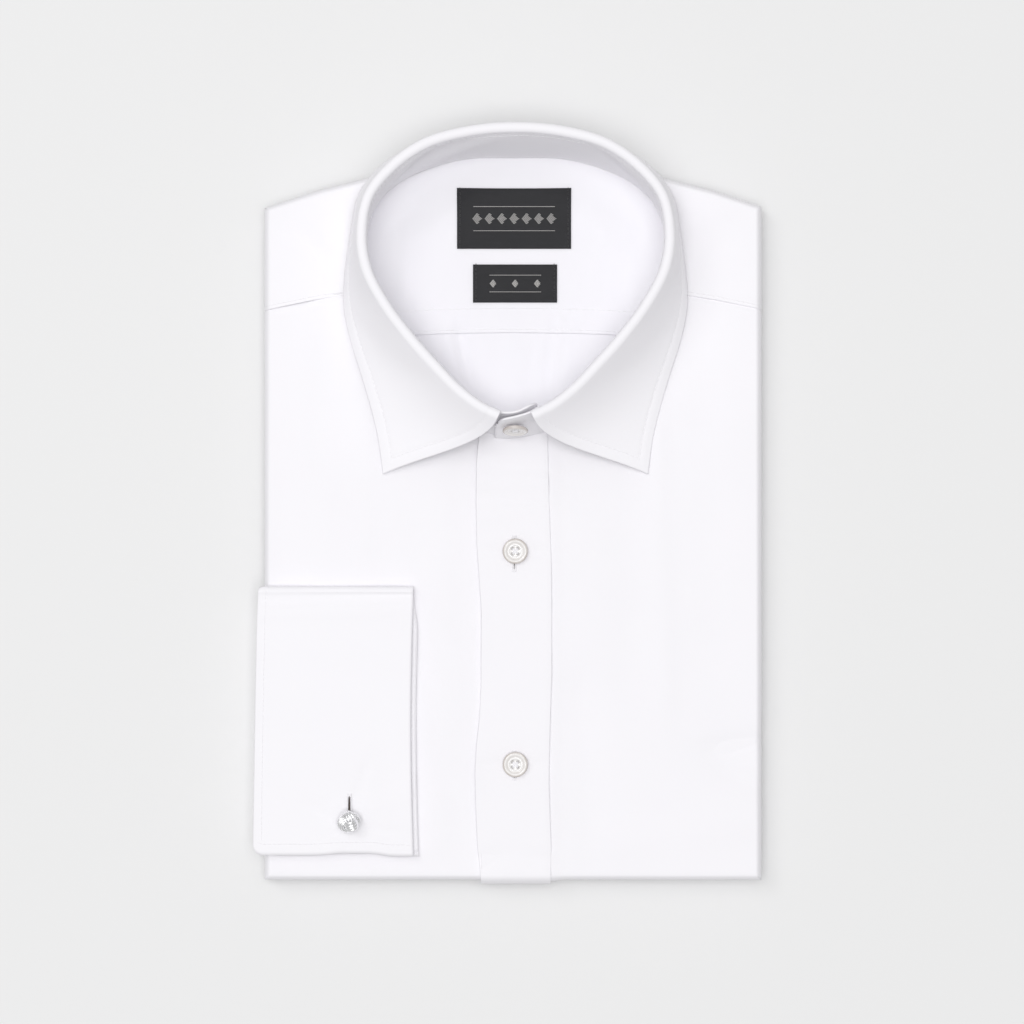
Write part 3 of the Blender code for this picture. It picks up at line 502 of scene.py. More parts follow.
front_rows = np.concatenate((np.linspace(0.0, 0.985, 152), (0.99, 0.995, 1.0)))
right_grid = laid_grid(spaced(LEFT_X + ROLL, UNDER_EDGE_X, PANEL_PITCH), front_rows, None, front_top_y, 0.0,
                       left_fold=True, hem_fold=True)
left_grid = laid_grid(spaced(OVER_EDGE_X, RIGHT_X - ROLL, PANEL_PITCH), front_rows, None, front_top_y, 0.0,
                      right_fold=True, hem_fold=True, lift_at=over_lift)
for panel, table in ((right_grid, RIGHT_FRONT_FOLDS), (left_grid, LEFT_FRONT_FOLDS)):
    px, py = panel[..., 0].copy(), panel[..., 1].copy()
    outside = smooth((np.abs(px) - NECK_HALF + 1.0) / 2.0)
    under_yoke = smooth((py - yoke_seam_y(px) + 1.2) / 1.6)
    panel[..., 2] += folds(px, py, table) + ripple(px, py, FRONT_WAVES)
    panel[..., 2] -= UNDER_YOKE_DEPTH * outside * under_yoke
front_right = add_cloth("right_front", right_grid, PLY, poplin, ("front_right",))
front_left = add_cloth("left_front", left_grid, PLY, poplin, ("front_left",))

# ---- Outer yoke ----------------------------------------------------------------------------------
# A double-ply poplin yoke comes over both shoulders from the back. Its lower edge is lapped and
# topstitched on to the fronts, and the collar is sewn to its neck edge.
YOKE_FOLDS = ((-104.0, 126.0, -93.0, 119.0, 7.0, -1.3), (-90.0, 117.0, -84.0, 107.0, 5.0, -1.1),
              (-98.0, 106.0, -78.0, 134.0, 9.0, 0.5), (96.0, 128.0, 84.0, 112.0, 8.0, -0.6),
              (80.0, 136.0, 100.0, 118.0, 10.0, 0.4))
YOKE_STITCH_UP = 1.6       # topstitching above the yoke seam


def yoke_low_y(x):
    """Lower edge of the outer yoke: its front seams outside the collar, the neck seam behind it."""
    return np.where(np.abs(x) > NECK_HALF, yoke_seam_y(x),
                    np.minimum(neck_back_y(x), shoulder_y(x) - ROLL - 0.3))


def yoke_stitch_y(x):
    """The yoke's topstitching runs a little above its seam."""
    return yoke_seam_y(x) + YOKE_STITCH_UP


side_columns = spaced(LEFT_X + ROLL, -NECK_HALF - 0.05, PANEL_PITCH)
yoke_columns = np.concatenate((side_columns, np.linspace(-NECK_HALF + 0.05, NECK_HALF - 0.05, 80),
                               spaced(NECK_HALF + 0.05, RIGHT_X - ROLL, PANEL_PITCH)))
yoke_rows = np.concatenate(((0.0, 0.01, 0.025), np.linspace(0.05, 1.0, 30)))
yoke_grid = laid_grid(yoke_columns, yoke_rows, yoke_low_y, None, 0.0, True, True, False, True)
yx, yy = yoke_grid[..., 0].copy(), yoke_grid[..., 1].copy()
yoke_outside = smooth((np.abs(yx) - NECK_HALF + 1.0) / 2.0)
yoke_grid[..., 2] += folds(yx, yy, YOKE_FOLDS) + ripple(yx, yy, FRONT_WAVES) + 0.15 * yoke_outside
yoke_grid[..., 2] += yoke_outside * seam_tuck(yx, yy, yoke_stitch_y, 0.8, 0.25)
outer_yoke = add_cloth("outer_yoke", yoke_grid, 0.7, poplin, ("yoke_outer",))

thread = woven("thread", (0.93, 0.92, 0.945), (0.88, 0.87, 0.895), pitch=0.3, relief=0.2, sheen=0.3,
               roughness=0.6)


def unit(vectors):
    """Vectors brought to length one."""
    return vectors / np.maximum(np.linalg.norm(vectors, axis=-1, keepdims=True), 1e-9)


def lay_stitches(centres, along, up, length, width, height):
    """Points and faces of stitches: each a spindle of two six-sided rings between two points."""
    side = unit(np.cross(up, along))
    turn = np.arange(6) * np.pi / 3
    rings = [centres[:, None] - along[:, None] * length / 2]
    for place in (-0.3, 0.3):
        middle = (centres + along * length * place)[:, None]
        rings.append(middle + side[:, None] * (width / 2 * np.cos(turn))[:, None]
                     + up[:, None] * (height * np.sin(turn))[:, None])
    rings.append(centres[:, None] + along[:, None] * length / 2)
    points = np.concatenate(rings, axis=1)
    faces = []
    for k in range(6):
        after = (k + 1) % 6
        faces += [(0, 1 + after, 1 + k), (1 + k, 1 + after, 7 + after, 7 + k), (7 + k, 7 + after, 13)]
    start = points.shape[1] * np.arange(len(centres))[:, None]
    every = [(start + np.array(face)).tolist() for face in faces]
    return points.reshape(-1, 3), sum(every, [])


def along_path(path, up, pitch):
    """Even places along a path, with its direction and the up vector at each."""
    steps = np.linalg.norm(np.diff(path, axis=0), axis=1)
    at = np.concatenate(([0.0], np.cumsum(steps)))
    where = np.arange(pitch / 2, at[-1], pitch)
    centres = np.stack([np.interp(where, at, path[:, k]) for k in range(3)], 1)
    ups = unit(np.stack([np.interp(where, at, up[:, k]) for k in range(3)], 1))
    ahead = np.stack([np.interp(where + 0.3, at, path[:, k]) for k in range(3)], 1)
    behind = np.stack([np.interp(where - 0.3, at, path[:, k]) for k in range(3)], 1)
    return centres, unit(ahead - behind), ups


def joined(meshes):
    """Several (points, faces) meshes as one: their points in turn, and their faces numbered on."""
    points, faces, count = [], [], 0
    for some_points, some_faces in meshes:
        points.append(some_points)
        faces += [[n + count for n in face] for face in some_faces]
        count += len(some_points)
    return np.concatenate(points), faces


def add_stitches(name, rows, finish, pitch=2.3, length=1.9, width=0.34, height=0.16):
    """Rows of lockstitches, each row a (path, up) pair, joined as one piece."""
    laid = [lay_stitches(*along_path(path, up, pitch), length, width, height) for path, up in rows]
    points, faces = joined(laid)
    return add_piece(name, points, faces, finish, uv=points[:, :2] * MM)


def normals(grid):
    """Unit vectors square to a grid: across its rows, crossed with along its columns."""
    return unit(np.cross(np.gradient(grid, axis=1), np.gradient(grid, axis=0)))


def surface_row(grid, columns, y_of):
    """The line y = y_of(x) on a laid grid, as (path, up), for the given columns."""
    face = normals(grid)
    path, up = [], []
    for k in columns:
        line = grid[:, k]
        order = np.argsort(line[:, 1])
        y = y_of(line[0, 0])
        path.append([line[0, 0], y, np.interp(y, line[order, 1], line[order, 2])])
        up.append([np.interp(y, line[order, 1], face[order, k, n]) for n in range(3)])
    return np.array(path), np.array(up)


yoke_cols = np.arange(yoke_grid.shape[1])
left_side = yoke_cols[(yx[0] < -NECK_HALF - 0.1) & (yx[0] > LEFT_X + 1.2)]
right_side = yoke_cols[(yx[0] > NECK_HALF + 0.1) & (yx[0] < RIGHT_X - 1.2)]
yoke_lines = [surface_row(yoke_grid, side, yoke_stitch_y) for side in (left_side, right_side)]
yoke_stitching = add_stitches("yoke_topstitch", yoke_lines, thread)

# ---- Placket -------------------------------------------------------------------------------------
# A fused poplin strip sewn down the over front, from the collar band to the hem fold. Its left edge is
# free and waves a little; its right edge is the seam. Buttonholes run down its middle.
PLACKET_LIFT = 1.95
PLACKET_WALL = 0.8
PLACKET_TOP_Y = 38.4
PLACKET_EDGE_Y = (34.0, 23.4, 4.5, -14.4, -27.0, -45.0, -78.3, -92.7, -104.4, -116.6, -134.0, -150.3, -166.0)
PLACKET_LEFT = (-16.5, -17.4, -17.7, -17.4, -16.5, -15.3, -15.5, -16.2, -17.5, -18.2, -17.8, -17.1, -15.6)
PLACKET_RIGHT_Y = (36.0, 17.0, -1.8, -20.7, -39.6, -73.4, -92.7, -107.0, -121.5, -135.9, -150.3, -166.0)
PLACKET_RIGHT = (14.5, 14.8, 15.4, 16.1, 16.3, 16.3, 15.7, 15.3, 15.1, 15.5, 16.1, 15.9)
PLACKET_FOLDS = ((-15.0, 21.0, 14.0, 19.0, 2.6, -0.4), (-15.0, 13.0, 14.0, 14.0, 3.0, 0.35),
                 (-14.0, 7.0, 13.0, 5.0, 2.8, -0.4), (-10.0, -1.0, 12.0, 0.5, 4.0, 0.25),
                 (-20.0, -159.0, -14.0, -157.0, 5.0, -0.9), (17.0, -157.0, 12.0, -156.0, 4.0, -0.7),
                 (-9.0, -17.6, -5.0, -17.6, 3.0, -0.35), (5.0, -17.6, 9.0, -17.6, 3.0, -0.35),
                 (-9.0, -113.4, -5.0, -113.4, 3.0, -0.35), (5.0, -113.4, 9.0, -113.4, 3.0, -0.35),
                 (-12.0, -60.0, 10.0, -66.0, 8.0, 0.2), (-12.0, -88.0, 10.0, -84.0, 7.0, -0.2))

placket_share = np.concatenate(((0.0, 0.012), np.linspace(0.04, 0.96, 24), (0.988, 1.0)))
placket_rows = np.linspace(0.0, 1.0, 170)
placket_grid = laid_grid(placket_share, placket_rows, None, lambda x: np.full(len(x), PLACKET_TOP_Y),
                         PLACKET_LIFT, hem_fold=True)
gy = placket_grid[..., 1]
edge_left = np.interp(gy, PLACKET_EDGE_Y[::-1], PLACKET_LEFT[::-1])
edge_right = np.interp(gy, PLACKET_RIGHT_Y[::-1], PLACKET_RIGHT[::-1])
across_share = np.broadcast_to(placket_share, gy.shape)
placket_grid[..., 0] = edge_left + (edge_right - edge_left) * across_share
gx = placket_grid[..., 0].copy()
edge_wave = 0.35 * np.sin(gy / 11.0) * np.exp(-(across_share / 0.12) ** 2)
placket_grid[..., 2] += folds(gx, gy, PLACKET_FOLDS) + edge_wave
placket_grid[..., 2] -= 0.3 * smooth((across_share - 0.94) / 0.06)
placket = add_cloth("placket_strip", placket_grid, PLACKET_WALL, poplin, ("placket",))

# ---- Inside yoke and back ------------------------------------------------------------------------
# Through the neck opening shows the wrong side of the back: the inside yoke ply, sewn to the back with a
# topstitched seam, and the back below it, which hangs in soft upright folds into the hollow.
INSIDE_LIFT = high("yoke_inner", 2) - FRONT_Z - 0.5
INSIDE_SEAM_Y = 81.0
INSIDE_SAG = 2.4
INSIDE_SHARE = 1.0 + 0.9 / NECK_HALF
BACK_FOLDS = ((-25.0, 78.0, -21.5, 62.0, 2.6, -1.5), (-31.0, 78.0, -27.0, 58.0, 4.0, 0.9),
              (18.0, 80.0, 16.0, 62.0, 4.0, -1.3), (25.0, 82.0, 22.0, 62.0, 4.0, 0.7),
              (-4.0, 80.0, -3.0, 44.0, 7.0, 0.8), (-50.0, 120.0, -50.0, 78.0, 5.0, -0.9),
              (8.0, 78.0, 7.0, 50.0, 4.0, -0.5), (52.0, 118.0, 50.0, 82.0, 6.0, -0.7),
              (-58.0, 128.0, -40.0, 136.0, 5.0, 0.5), (40.0, 90.0, 46.0, 126.0, 6.0, 0.5))


def inside_seam_y(x):
    """The inside yoke's seam sags a little towards the sides: a parabola."""
    return INSIDE_SEAM_Y - INSIDE_SAG * (x / NECK_HALF) ** 2


def inside_front_y(x):
    """Front limit inside the neck: just past the neck seam, under the stand."""
    return BOWL_Y + (neck_front_y(x / INSIDE_SHARE) - BOWL_Y) * INSIDE_SHARE


def inside_back_y(x):
    """Back limit inside the neck."""
    return BOWL_Y + (neck_back_y(x / INSIDE_SHARE) - BOWL_Y) * INSIDE_SHARE


def inside_yoke_low_y(x):
    """Lower edge of the inside yoke: its seam, or the neckline where that comes first."""
    return np.maximum(inside_seam_y(x), inside_front_y(x))


def inside_z(grid, lift):
    """Sinks a laid grid into the hollow and gives it the folds of the back."""
    x, y = grid[..., 0], grid[..., 1]
    grid[..., 2] += lift - bowl(x, y) + folds(x, y, BACK_FOLDS)


# The inside pieces take a slightly darker copy of the poplin: painted shade for the hollow inside the collar.
shaded_inside_poplin = woven("shaded_inside_poplin", (0.90, 0.89, 0.925), (0.875, 0.865, 0.90))
inside_columns = spaced(-NECK_HALF - 0.8, NECK_HALF + 0.8, 1.5)
inner_yoke_rows = np.concatenate(((0.0, 0.006), np.linspace(0.02, 1.0, 52)))
inner_yoke_grid = laid_grid(inside_columns, inner_yoke_rows, inside_yoke_low_y, inside_back_y, INSIDE_LIFT)
inside_z(inner_yoke_grid, 0.0)
inner_yoke = add_cloth("inner_yoke", inner_yoke_grid, 0.6, shaded_inside_poplin, ("yoke_inner",))
back_grid = laid_grid(spaced(-60.0, 60.0, 1.5), np.linspace(0.0, 1.0, 40), inside_front_y,
                      lambda x: inside_seam_y(x) + 1.0, INSIDE_LIFT)
inside_z(back_grid, -0.75)
back = add_cloth("back_inside", back_grid, 0.5, shaded_inside_poplin, ("back_panel",))
seam_columns = np.arange(8, inner_yoke_grid.shape[1] - 8)
inside_lines = [surface_row(inner_yoke_grid, seam_columns, lambda x: float(inside_yoke_low_y(x)) + up)
                for up in (1.6, 11.0)]
inside_stitching = add_stitches("inside_yoke_topstitch", inside_lines, thread)

# ---- Woven labels --------------------------------------------------------------------------------
# A wide black woven label and a small one below it, damask-woven in satin, turned under at both ends and
# sewn to the inside yoke there. Each carries only a plain row of lozenges between two thin bars.
# label: node, how many lozenges, half the height of one, flat size
LABELS = (("label_main", 7, 2.6, (0.0515, 0.0272)), ("label_size", 3, 1.8, (0.038, 0.0172)))
LABEL_WALL = 0.45
black_satin = woven("black_satin", (0.012, 0.012, 0.014), (0.018, 0.018, 0.021), 0.3, 0.4, 0.35, 0.6)
pale_thread = woven("pale_thread", (0.50, 0.49, 0.47), (0.42, 0.41, 0.40), 0.3, 0.3, 0.2, 0.6)
for node, count, half, flat in LABELS:
    left, right = low(node, 0), high(node, 0)
    bottom, top = low(node, 1), high(node, 1)
    label_rows = np.concatenate(((0.0, 0.02), np.linspace(0.04, 0.96, 22), (0.98, 1.0)))
    label_grid = laid_grid(spaced(left, right, 1.0), label_rows, lambda x: np.full(len(x), bottom),
                           lambda x: np.full(len(x), top), INSIDE_LIFT + 0.6)
    inside_z(label_grid, 0.0)
    lx = label_grid[..., 0]
    label_grid[..., 2] += 0.12 * np.exp(-((lx - left) / 2.0) ** 2) + 0.12 * np.exp(-((lx - right) / 2.0) ** 2)
    label = add_cloth(node + "_tape", label_grid, LABEL_WALL, black_satin, (node,))
    middle = (top + bottom) / 2
    places = np.linspace(left + 9.0, right - 9.0, count)
    bars = [surface_row(label_grid, np.arange(8, label_grid.shape[1] - 8), lambda x, y=y: y)
            for y in (middle - 2.1 * half, middle + 2.1 * half)]
    woven_rows = [(path + (0.0, 0.0, 0.02), up) for path, up in bars]
    weft = np.linspace(-1.0, 1.0, 13)
    for place in places:
        for share in weft:
            reach = (1.0 - abs(share)) * half * 0.8 + 0.05
            y = middle + share * half
            xs = np.array((place - reach, place + reach))
            zs = INSIDE_LIFT + 0.62 + FRONT_Z - bowl(xs, y) + folds(xs, np.full(2, y), BACK_FOLDS)
            woven_rows.append((np.stack((xs, np.full(2, y), zs), 1), np.array([(0.0, 0.0, 1.0)] * 2)))
    ornament = add_stitches(node + "_ornament", woven_rows, pale_thread, 0.9, 0.95, 0.3, 0.05)
    ends = [(label_grid[:, k] + (0.0, 0.0, 0.03), normals(label_grid)[:, k]) for k in (2, -3)]
    sewing = add_stitches(node + "_sewing", ends, black_satin, 2.0, 1.6, 0.3, 0.14)

# ---- Collar stand --------------------------------------------------------------------------------
# A fused double strip, sewn to the neck edge all round and standing up from it. Its over end laps its
# under end at the front, where it buttons.
STAND_WALL = 1.0
BAND_COLUMNS = ("seam_x", "seam_y", "top_x", "top_y", "top_z")
BAND_OVER = np.array([(-0.6, 34.2, -0.6, 42.4, 46.6), (-6.0, 34.0, -6.0, 41.2, 45.6),
                      (-9.2, 34.2, -8.4, 39.8, 41.0)])
BAND_UNDER = np.array([(-0.9, 36.6, -0.9, 45.0, 46.4), (-6.4, 37.8, -6.4, 47.6, 45.8),
                       (-9.4, 39.0, -9.0, 48.4, 41.0)])
STAND_STATIONS = 300
STITCH_STATIONS = 600
ROLL_RADIUS = 2.4
LEG = 1.5              # how far the leaf comes down inside to its seam with the stand
# fold: share round and up of its start, of its end, and height
STAND_FOLDS = ((0.06, 0.9, 0.10, 0.15, 0.8), (0.17, 0.95, 0.20, 0.3, -0.7), (0.27, 0.9, 0.25, 0.1, 0.6),
               (0.345, 0.35, 0.39, 0.95, 1.1), (0.37, 0.25, 0.43, 0.9, -1.2), (0.41, 0.25, 0.47, 0.85, 0.9),
               (0.59, 0.9, 0.63, 0.3, -1.0), (0.61, 0.95, 0.66, 0.35, 0.9), (0.66, 0.95, 0.70, 0.2, -0.5),
               (0.76, 0.9, 0.74, 0.1, -0.7), (0.86, 0.9, 0.90, 0.2, 0.6))


def outward(curve):
    """Level unit vectors out of the collar, square to a curve that runs from one front round the back."""
    run = np.gradient(curve[:, :2], axis=0)
    return unit(np.stack((-run[:, 1], run[:, 0], np.zeros(len(curve))), -1))


def mirrored(table, columns):
    """The table with every x turned to the other side."""
    return table * np.where([name.endswith("_x") for name in columns], -1.0, 1.0)


def stand_foot_z(x, y):
    """The stand's lower edge lies on the panels, and on the placket at the front."""
    return laid_z(x, y, 0.0) + (PLACKET_LIFT + 0.1) * smooth((27.0 - np.abs(x)) / 9.0) * (y < BOWL_Y)


round_neck = np.concatenate((mirrored(COLLAR, COLLAR_COLUMNS)[::-1], COLLAR[1:]))
crest = round_neck[:, 2:5]
seam_top = crest - outward(crest) * ROLL_RADIUS - np.array((0.0, 0.0, ROLL_RADIUS + LEG))
stand_rows = np.concatenate((mirrored(BAND_UNDER, BAND_COLUMNS)[::-1],
                             np.concatenate((round_neck[:, :2], seam_top), 1), BAND_OVER))
stand_line = smooth_rows(stand_rows, np.linspace(0.0, 1.0, STAND_STATIONS))
foot_z = stand_foot_z(stand_line[:, 0], stand_line[:, 1])
stand_foot = np.stack((stand_line[:, 0], stand_line[:, 1], foot_z), -1)
up_share = np.concatenate(((0.0, 0.015), np.linspace(0.05, 0.95, 20), (0.985, 1.0)))[:, None, None]
stand_face = stand_foot + (stand_line[:, 2:] - stand_foot) * up_share
turn_share, rise = np.meshgrid(np.linspace(0.0, 1.0, STAND_STATIONS), up_share[:, 0, 0])
slack = np.zeros(turn_share.shape)
for start, start_up, end, end_up, height in STAND_FOLDS:
    slack += fold(turn_share * 8.0, rise, start * 8.0, start_up, end * 8.0, end_up, 0.16, height)
bulge = (0.6 + slack) * np.sin(np.pi * rise) ** 0.8
stand_face = stand_face - outward(stand_line[:, 2:]) * bulge[..., None]
collar_cloth = woven("collar_cloth", (0.93, 0.918, 0.95), (0.912, 0.90, 0.932))
stand = add_cloth("collar_band", stand_face, STAND_WALL, collar_cloth, ("collar_stand",))


def grid_line(grid, rows, columns):
    """Points and normals of a grid at fractional rows and columns, for stitching that follows the cloth."""
    r0 = np.clip(np.floor(rows).astype(int), 0, grid.shape[0] - 2)
    c0 = np.clip(np.floor(columns).astype(int), 0, grid.shape[1] - 2)
    fr, fc = (rows - r0)[:, None], (columns - c0)[:, None]
    face = normals(grid)

    def between(values):
        return ((1 - fr) * ((1 - fc) * values[r0, c0] + fc * values[r0, c0 + 1])
                + fr * ((1 - fc) * values[r0 + 1, c0] + fc * values[r0 + 1, c0 + 1]))

    return between(grid), unit(between(face))


band_columns = np.linspace(3.0, STAND_STATIONS - 4.0, STITCH_STATIONS)
band_lines = [grid_line(stand_face, np.full(STITCH_STATIONS, row), band_columns) for row in (2.3, 20.6)]
band_sewing = add_stitches("band_topstitch", band_lines, thread)

# ---- Collar leaf ---------------------------------------------------------------------------------
# The fused leaf rises from its seam inside the neck, rolls over and falls to its edge and two points on
# the fronts. It is topstitched five millimetres in from its edges.
LEAF_WALL = 0.9
HANDLE = 0.34          # share of the fall that keeps the roll's direction
TOPSTITCH_IN = 5.0
NEAR_FRONT = 40        # columns from a front edge that its topstitching is looked for in
FALL_ROW = 18          # row of the leaf where its fall begins
LEAF_FOLDS = ((0.12, 0.2, 0.20, 0.8, 0.5), (0.30, 0.3, 0.27, 0.9, -0.5), (0.70, 0.25, 0.74, 0.85, -0.5),
              (0.88, 0.2, 0.80, 0.8, 0.5))

leaf_share = np.concatenate((np.linspace(0.0, 0.022, 16), np.linspace(0.0235, 0.9765, 270),
                             np.linspace(0.978, 1.0, 16)))
leaf_rows = smooth_rows(round_neck, leaf_share)
leaf_out = outward(leaf_rows[:, 2:5])
upright = np.array((0.0, 0.0, 1.0))
roll_centre = leaf_rows[:, 2:5] - ROLL_RADIUS * upright
leaf_edge = leaf_rows[:, 5:8]
fall = np.radians(leaf_rows[:, 8])[:, None]
profile = [roll_centre - leaf_out * ROLL_RADIUS - upright * LEG,
           roll_centre - leaf_out * ROLL_RADIUS - upright * LEG / 2]
for share in np.linspace(0.0, 1.0, 15):
    turn = np.pi + (np.pi / 2 - fall - np.pi) * share
    profile.append(roll_centre + ROLL_RADIUS * (np.cos(turn) * leaf_out + np.sin(turn) * upright))
fall_start = profile[-1]
fall_span = np.linalg.norm(leaf_edge - fall_start, axis=1, keepdims=True)
handle_top = fall_start + HANDLE * fall_span * (np.cos(fall) * leaf_out - np.sin(fall) * upright)
landing = unit(leaf_edge - fall_start)
landing[:, 2] *= 0.6
handle_edge = leaf_edge - HANDLE * fall_span * unit(landing)
for share in np.concatenate((np.linspace(0.02, 0.84, 34), np.linspace(0.85, 1.0, 24))):
    keep = 1.0 - share
    profile.append(keep**3 * fall_start + 3 * keep**2 * share * handle_top + 3 * keep * share**2 * handle_edge
                   + share**3 * leaf_edge)
leaf_grid = np.stack(profile)
down = np.zeros(leaf_grid.shape[:2])
down[1:] = np.cumsum(np.linalg.norm(np.diff(leaf_grid, axis=0), axis=2), axis=0)
from_edge = down[-1] - down
round_length = np.zeros(leaf_grid.shape[:2])
round_length[:, 1:] = np.cumsum(np.linalg.norm(np.diff(leaf_grid, axis=1), axis=2), axis=1)
from_front = np.minimum(round_length, round_length[:, -1:] - round_length)
inside_edge = np.minimum(from_edge, from_front)
groove = -0.16 * np.exp(-((inside_edge - TOPSTITCH_IN) / 0.7) ** 2)
puff = 0.10 * np.exp(-((inside_edge - TOPSTITCH_IN / 2) / 1.6) ** 2)
drop = down / down[-1]
turn_grid = np.broadcast_to(leaf_share, drop.shape)
leaf_slack = np.zeros(drop.shape)
for start, start_down, end, end_down, height in LEAF_FOLDS:
    leaf_slack += fold(turn_grid * 6.0, drop, start * 6.0, start_down, end * 6.0, end_down, 0.18, height)
leaf_grid = leaf_grid + normals(leaf_grid) * (groove + puff + leaf_slack * np.sin(np.pi * drop))[..., None]
leaf = add_cloth("leaf", leaf_grid, LEAF_WALL, collar_cloth, ("collar_leaf",))

line_columns = np.arange(leaf_grid.shape[1], dtype=float)
edge_rows = np.array([np.interp(TOPSTITCH_IN, from_edge[::-1, k], np.arange(leaf_grid.shape[0])[::-1])
                      for k in range(leaf_grid.shape[1])])


def stitch_columns(lengths):
    """How many columns in from a front edge the topstitching runs, for each row of lengths from that edge."""
    near = np.arange(float(NEAR_FRONT))
    return np.array([np.interp(TOPSTITCH_IN, row[:NEAR_FRONT], near) for row in lengths])


front_column = stitch_columns(round_length)
back_column = stitch_columns((round_length[:, -1:] - round_length)[:, ::-1])
last = leaf_grid.shape[1] - 1.0
corner_a = int(edge_rows[int(front_column[-6])])
corner_b = int(edge_rows[int(last - back_column[-6])])
down_rows_a = np.arange(float(FALL_ROW), corner_a)
down_rows_b = np.arange(float(FALL_ROW), corner_b)
level = (line_columns >= front_column[corner_a]) & (line_columns <= last - back_column[corner_b])
leaf_sewing = add_stitches("leaf_topstitch", [
    grid_line(leaf_grid, down_rows_a, front_column[FALL_ROW:corner_a]),
    grid_line(leaf_grid, edge_rows[level], line_columns[level]),
    grid_line(leaf_grid, down_rows_b, last - back_column[FALL_ROW:corner_b])], thread)
leaf_seam_columns = np.linspace(4.0, last - 4.0, STITCH_STATIONS)
leaf_seam_line = grid_line(leaf_grid, np.full(STITCH_STATIONS, 0.9), leaf_seam_columns)
leaf_seam = add_stitches("leaf_seam_stitch", [leaf_seam_line], thread)

# ---- Buttonholes ---------------------------------------------------------------------------------
# Slits worked round with close satin stitches and a bar tack at each end: two upright ones in the
# placket, each mostly under its button, and a level one near the end of the band.
# Each slit is a dark lens coloured as painted shadow, standing in for the shade inside the opening.
slit_painted_shadow = woven("slit_painted_shadow", (0.10, 0.08, 0.07), (0.07, 0.055, 0.05), 0.3, 0.2, 0.0)


def add_slit_shadow(name, points, faces, finish):
    """Painted shadow of the slit: a small dark closed mesh, turned so that every face points out."""
    mesh = bpy.data.meshes.new(name)
    mesh.from_pydata((np.asarray(points) * MM).tolist(), [], faces)
    mesh.uv_layers.new(name="cloth")
    mesh.materials.append(finish)
    centre = np.asarray(points).mean(0) * MM
    first = mesh.polygons[0]
    if (np.array(first.center) - centre) @ np.array(first.normal) < 0.0:
        mesh.flip_normals()
    piece = bpy.data.objects.new(name, mesh)
    scene.collection.objects.link(piece)
    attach(piece, "root")
    return piece


def add_buttonhole(name, centre, along, up, length, welt=0.9, slit=0.42):
    """Satin stitches across both lips, tacks across both ends, and a flat dark lens between: the slit's
    painted shadow.
    """
    centre, along, up = (np.asarray(v, float) for v in (centre, along, up))
    side = np.cross(up, along)
    steps = np.arange(-length / 2, length / 2 + 0.01, 0.33)
    lips = []
    for sign in (-1.0, 1.0):
        lip = centre + along * steps[:, None] + side * sign * (slit / 2 + welt / 2)
        lips.append(lay_stitches(lip, np.broadcast_to(side, lip.shape), np.broadcast_to(up, lip.shape),
                                 welt, 0.34, 0.18))
    for sign in (-1.0, 1.0):
        bar = centre + along * sign * (length / 2 + 0.25 + 0.3 * np.arange(3)[:, None])
        lips.append(lay_stitches(bar, np.broadcast_to(side, bar.shape), np.broadcast_to(up, bar.shape),
                                 2 * welt + slit, 0.34, 0.2))
    points, faces = joined(lips)
    worked = add_piece(name, points, faces, thread, uv=points[:, :2] * MM)
    turn = np.linspace(0.0, 2 * np.pi, 25)[:-1]
    outline = (centre + along * np.cos(turn)[:, None] * length / 2 + side * np.sin(turn)[:, None] * slit / 2
               + up * 0.03)
    both = np.concatenate((outline, outline - up * 0.12))
    count = len(outline)
    walls = [(k, (k + 1) % count, (k + 1) % count + count, k + count) for k in range(count)]
    slit_faces = [list(range(count))[::-1], list(range(count, 2 * count))]
    slit_faces += [list(wall)[::-1] for wall in walls]
    opening = add_slit_shadow(name + "_slit", both, slit_faces, slit_painted_shadow)
    return worked, opening


placket_z = FRONT_Z + PLACKET_LIFT
BUTTONS_Y = [(low(f"button_front_{n}", 1) + high(f"button_front_{n}", 1)) / 2 for n in (1, 2)]
# placket buttonhole: number, how far its middle lies below its button's, length
PLACKET_HOLES = ((1, 1.2, 14.5), (2, 0.6, 11.4))
for number, below_button, length in PLACKET_HOLES:
    hole_at = (-0.5, BUTTONS_Y[number - 1] - below_button, placket_z + 0.02)
    add_buttonhole(f"buttonhole_{number}", hole_at, (0.0, -1.0, 0.0), (0.0, 0.0, 1.0), length)

# ---- Buttons -------------------------------------------------------------------------------------
# Three four-hole shirt buttons turned from translucent pearly plastic, with a raised rim and a raised ring
# round the holes, each sewn on with a cross of white thread.
BUTTON_R = (high("button_front_1", 0) - low("button_front_1", 0)) / 2
BUTTON_X = (high("button_front_1", 0) + low("button_front_1", 0)) / 2
HOLE_R = 0.62
HOLE_AT = 1.15
# profile of a button from the middle of its back to the middle of its front: r and z
BUTTON_PROFILE = np.array([(0.0, 0.0), (3.8, 0.0), (4.9, 0.35), (5.55, 0.95), (5.7, 1.35), (5.6, 1.75),
                           (5.2, 2.1), (4.7, 2.2), (4.1, 2.05), (3.7, 1.75), (3.35, 1.6), (3.1, 1.75),
                           (2.75, 1.75), (2.4, 1.45), (1.6, 1.35), (0.0, 1.35)]) * (BUTTON_R / 5.7, 1.0)
BAND_BUTTON_UP = 0.56      # share of the band's height at which its button sits


